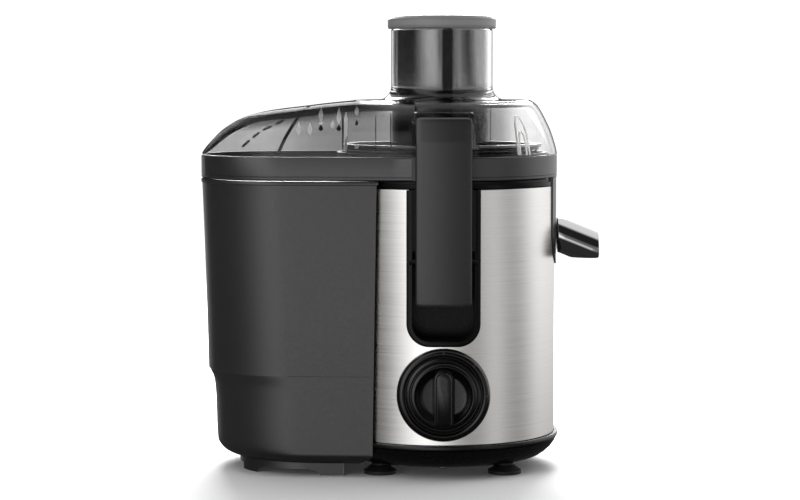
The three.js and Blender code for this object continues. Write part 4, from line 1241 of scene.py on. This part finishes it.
def pulp_container():
    """A tall open bin with a raised band round its rim and a skirt under its floor."""
    top, base = TUB.z1, TUB.z0 + 10.3
    body = cut(tub(0), disc(TUB_NOTCH, 0, FAR, FINEST))
    hollow = cut(tub(TUB_T), disc(TUB_NOTCH + TUB_T, 0, FAR, FINEST))
    band = stacked("band", band_plan, (
        (top - 3.2, 0.6), (top - 2.9, -0.35), (top - 2.5, -0.6), (top - 0.5, -0.6), (top - 0.1, -0.4),
        (top, 0.0),
    ))
    cut(band, disc(TUB_NOTCH, 0, FAR, FINEST))
    skirt = prism("skirt", skirt_plan(0), 0, base)
    cut(skirt, prism("hollow", skirt_plan(2.5), -1, TUB_FLOOR), prism("gap", SKIRT_ARCH, -80, 80, "xz"))
    cut(skirt, block("gap", -160, -60, -26, 26, -1, 4.5), disc(TUB_NOTCH, 0, FAR, FINEST))
    union(body, band, skirt)
    cut(body, hollow)
    finish_piece(body, "container", TUB_GREY, "dark_grey_plastic", "pulp_container", angle=30)


# ---- making everything --------------------------------------------------------------------------
steel_wrap()
housing()
base_plate()
feet_and_screws()
cord_gland()
for side_name, side_sign in SIDES:
    latch_pocket(side_name, side_sign)
    latch_arm(side_name, side_sign)
knob_bezel()
knob()
juice_collector()
spout()
sieve()
lid()
pusher()
pulp_container()

CAD_LOOKS = {
    PIN_STEEL: ("latch_pin_near", "latch_pin_far"),
    IRON: ("lower_motor_bracket", "upper_motor_bracket", "knob_shaft"),
    BLACK: ("interlock_switch_near", "interlock_switch_far", "speed_switch"),
    BOARD: ("circuit_board",),
    LAMINATED: ("stator_core", "armature_core"),
    COPPER: ("field_coil_left", "field_coil_right", "armature_winding_upper", "armature_winding_lower"),
    SIEVE_STEEL: ("motor_shaft", "lower_bearing", "upper_bearing"),
    BRASS: ("commutator", "brush_holder_left", "brush_holder_right"),
    CARBON: ("carbon_brush_left", "carbon_brush_right"),
    DARK_GREY: ("cooling_fan", "drive_coupling"),
    RUBBER: ("motor_mount_1", "motor_mount_2", "motor_mount_3", "motor_mount_4", "shaft_seal"),
}
for look, names in CAD_LOOKS.items():
    for node in names:
        mesh_object = bpy.data.objects[node]
        mesh_object.data.materials.clear()
        mesh_object.data.materials.append(look)


# ---- studio -------------------------------------------------------------------------------------
def floor_material():
    """A pale table with painted light: it glows faintly away from the object, like a sweep lit from behind,
    which leaves a painted shadow round the object.
    """
    n = Nodes("studio floor")
    n.set(Base_Color=(0.76, 0.76, 0.76, 1), Roughness=0.75, Specular_IOR_Level=0.1)
    x, y, _ = n.add("SeparateXYZ", Vector=n.coords).outputs
    apart = n.math("SQRT", n.math("ADD", n.math("MULTIPLY", x, x), n.math("MULTIPLY", y, y)))  # in metres
    # Painted light: the glow rises from 0.02 within 0.3 m of the object to 0.35 beyond 1.1 m.
    n.set(Emission_Color=(1, 1, 1, 1), Emission_Strength=n.span(apart, 0.02, 0.35, 0.3, 1.1))
    return n.material


def studio_floor():
    mesh = bpy.data.meshes.new("studio floor")
    mesh.from_pydata([(-5, -5, 0), (5, -5, 0), (5, 7, 0), (-5, 7, 0)], [], [(0, 1, 2, 3)])
    floor = bpy.data.objects.new("studio_floor", mesh)
    bpy.context.scene.collection.objects.link(floor)
    mesh.materials.append(floor_material())
    floor.visible_glossy = False  # shiny parts mirror the dark lower room, not the table


# Brightness of the room by direction, in degrees from the camera's side, + to the right.
HORIZON = (
    (-180, 1.08), (-168, 1.08), (-156, 0.1), (-134, 0.04), (-74, 0.06), (-60, 0.6), (-45, 1.5), (-33, 2.2),
    (-19, 1.9), (-6, 0.6), (8, 0.26), (24, 0.32), (40, 1.1), (54, 0.45), (66, 0.2), (80, 0.7), (94, 1.5),
    (108, 1.4), (126, 1.2), (150, 1.08), (180, 1.08),
)
OVERHEAD = (
    (-180, 0.05), (-82, 0.05), (-64, 1.9), (-40, 2.2), (-24, 0.8), (-8, 0.03), (52, 0.03), (72, 0.06),
    (85, 0.5), (100, 0.7), (120, 0.3), (140, 0.05), (180, 0.05),
)
ZENITH = 1.45  # the ceiling
LOWER = 0.05  # below eye level
SHIFT = math.radians(15)  # how far the lights lean to the right below eye level


def studio_world():
    """A white backdrop, a bright panel front left, a softer one to the right, and a bright ceiling."""
    world = bpy.data.worlds.new("studio")
    world.use_nodes = True
    bpy.context.scene.world = world
    tree = world.node_tree

    def add(kind, *inputs, **options):
        node = tree.nodes.new("ShaderNode" + kind)
        for key, value in options.items():
            setattr(node, key, value)
        for socket, value in zip(node.inputs, inputs):
            if isinstance(value, bpy.types.NodeSocket):
                tree.links.new(value, socket)
            else:
                socket.default_value = value
        return node

    def math_node(operation, a, b):
        return add("Math", a, b, operation=operation).outputs[0]

    def ease(value, start, end, top=1.0):
        """A smooth rise from 0 at start to top at end."""
        return add("MapRange", value, start, end, 0.0, top, interpolation_type="SMOOTHSTEP").outputs[0]

    x, y, z = add("SeparateXYZ", add("TexCoord").outputs["Generated"]).outputs

    def around(table, lean):
        """Brightness read from a table by direction, turned by lean."""
        turn = math_node("ARCTAN2", x, math_node("MULTIPLY", y, -1.0))
        place = add("MapRange", math_node("SUBTRACT", turn, lean), -math.pi, math.pi, 0.0, 1.0)
        ramp = add("ValToRGB", place.outputs[0])
        ramp.color_ramp.interpolation = "EASE"
        fill_ramp(ramp, [((degrees + 180) / 360, (level, level, level, 1)) for degrees, level in table])
        return ramp.outputs[0]

    ahead = ease(y, 0.1, -0.3)  # towards the camera's side of the room
    near_top = math_node("MULTIPLY", ease(z, 0.12, 0.3), ahead)
    left = math_node("MULTIPLY", math_node("MINIMUM", x, 0.0), 0.5)
    slope = math_node("ADD", math_node("MULTIPLY", y, 0.6), left)
    ceiling = ease(math_node("ADD", z, slope), 0.5, 0.85)
    below = ease(math_node("ADD", z, math_node("MULTIPLY", ahead, 0.1)), -0.03, -0.27)
    colour = around(HORIZON, ease(z, -0.01, -0.07, SHIFT))
    for amount, other in ((near_top, around(OVERHEAD, 0.0)), (below, LOWER), (ceiling, ZENITH)):
        mix = add("Mix", data_type="RGBA")
        tree.links.new(amount, mix.inputs[0])
        tree.links.new(colour, mix.inputs[6])
        if isinstance(other, float):
            mix.inputs[7].default_value = (other, other, other, 1)
        else:
            tree.links.new(other, mix.inputs[7])
        colour = mix.outputs[2]
    tree.links.new(colour, tree.nodes["Background"].inputs["Color"])


def back_lamp():
    """A soft lamp above and behind, which throws the shadow towards the camera."""
    data = bpy.data.lights.new("back lamp", "AREA")
    data.size = 0.8
    data.energy = 46.0
    lamp = bpy.data.objects.new("back_lamp", data)
    lamp.location = (0.0, 1.0, 0.85)
    lamp.rotation_euler = (-Vector(lamp.location)).to_track_quat("-Z", "Y").to_euler()
    bpy.context.scene.collection.objects.link(lamp)


def camera():
    """A long lens in front of the knob's side, a little above the middle and tipped down."""
    data = bpy.data.cameras.new("camera")
    data.lens = 102.5
    data.sensor_width = 36
    eye = bpy.data.objects.new("camera", data)
    eye.location = (-0.00015, -1.65625, 0.283)
    eye.rotation_euler = (math.radians(85.66), 0, 0)
    bpy.context.scene.collection.objects.link(eye)
    bpy.context.scene.camera = eye


studio_floor()
studio_world()
back_lamp()
camera()
bpy.context.scene.view_settings.view_transform = "Standard"
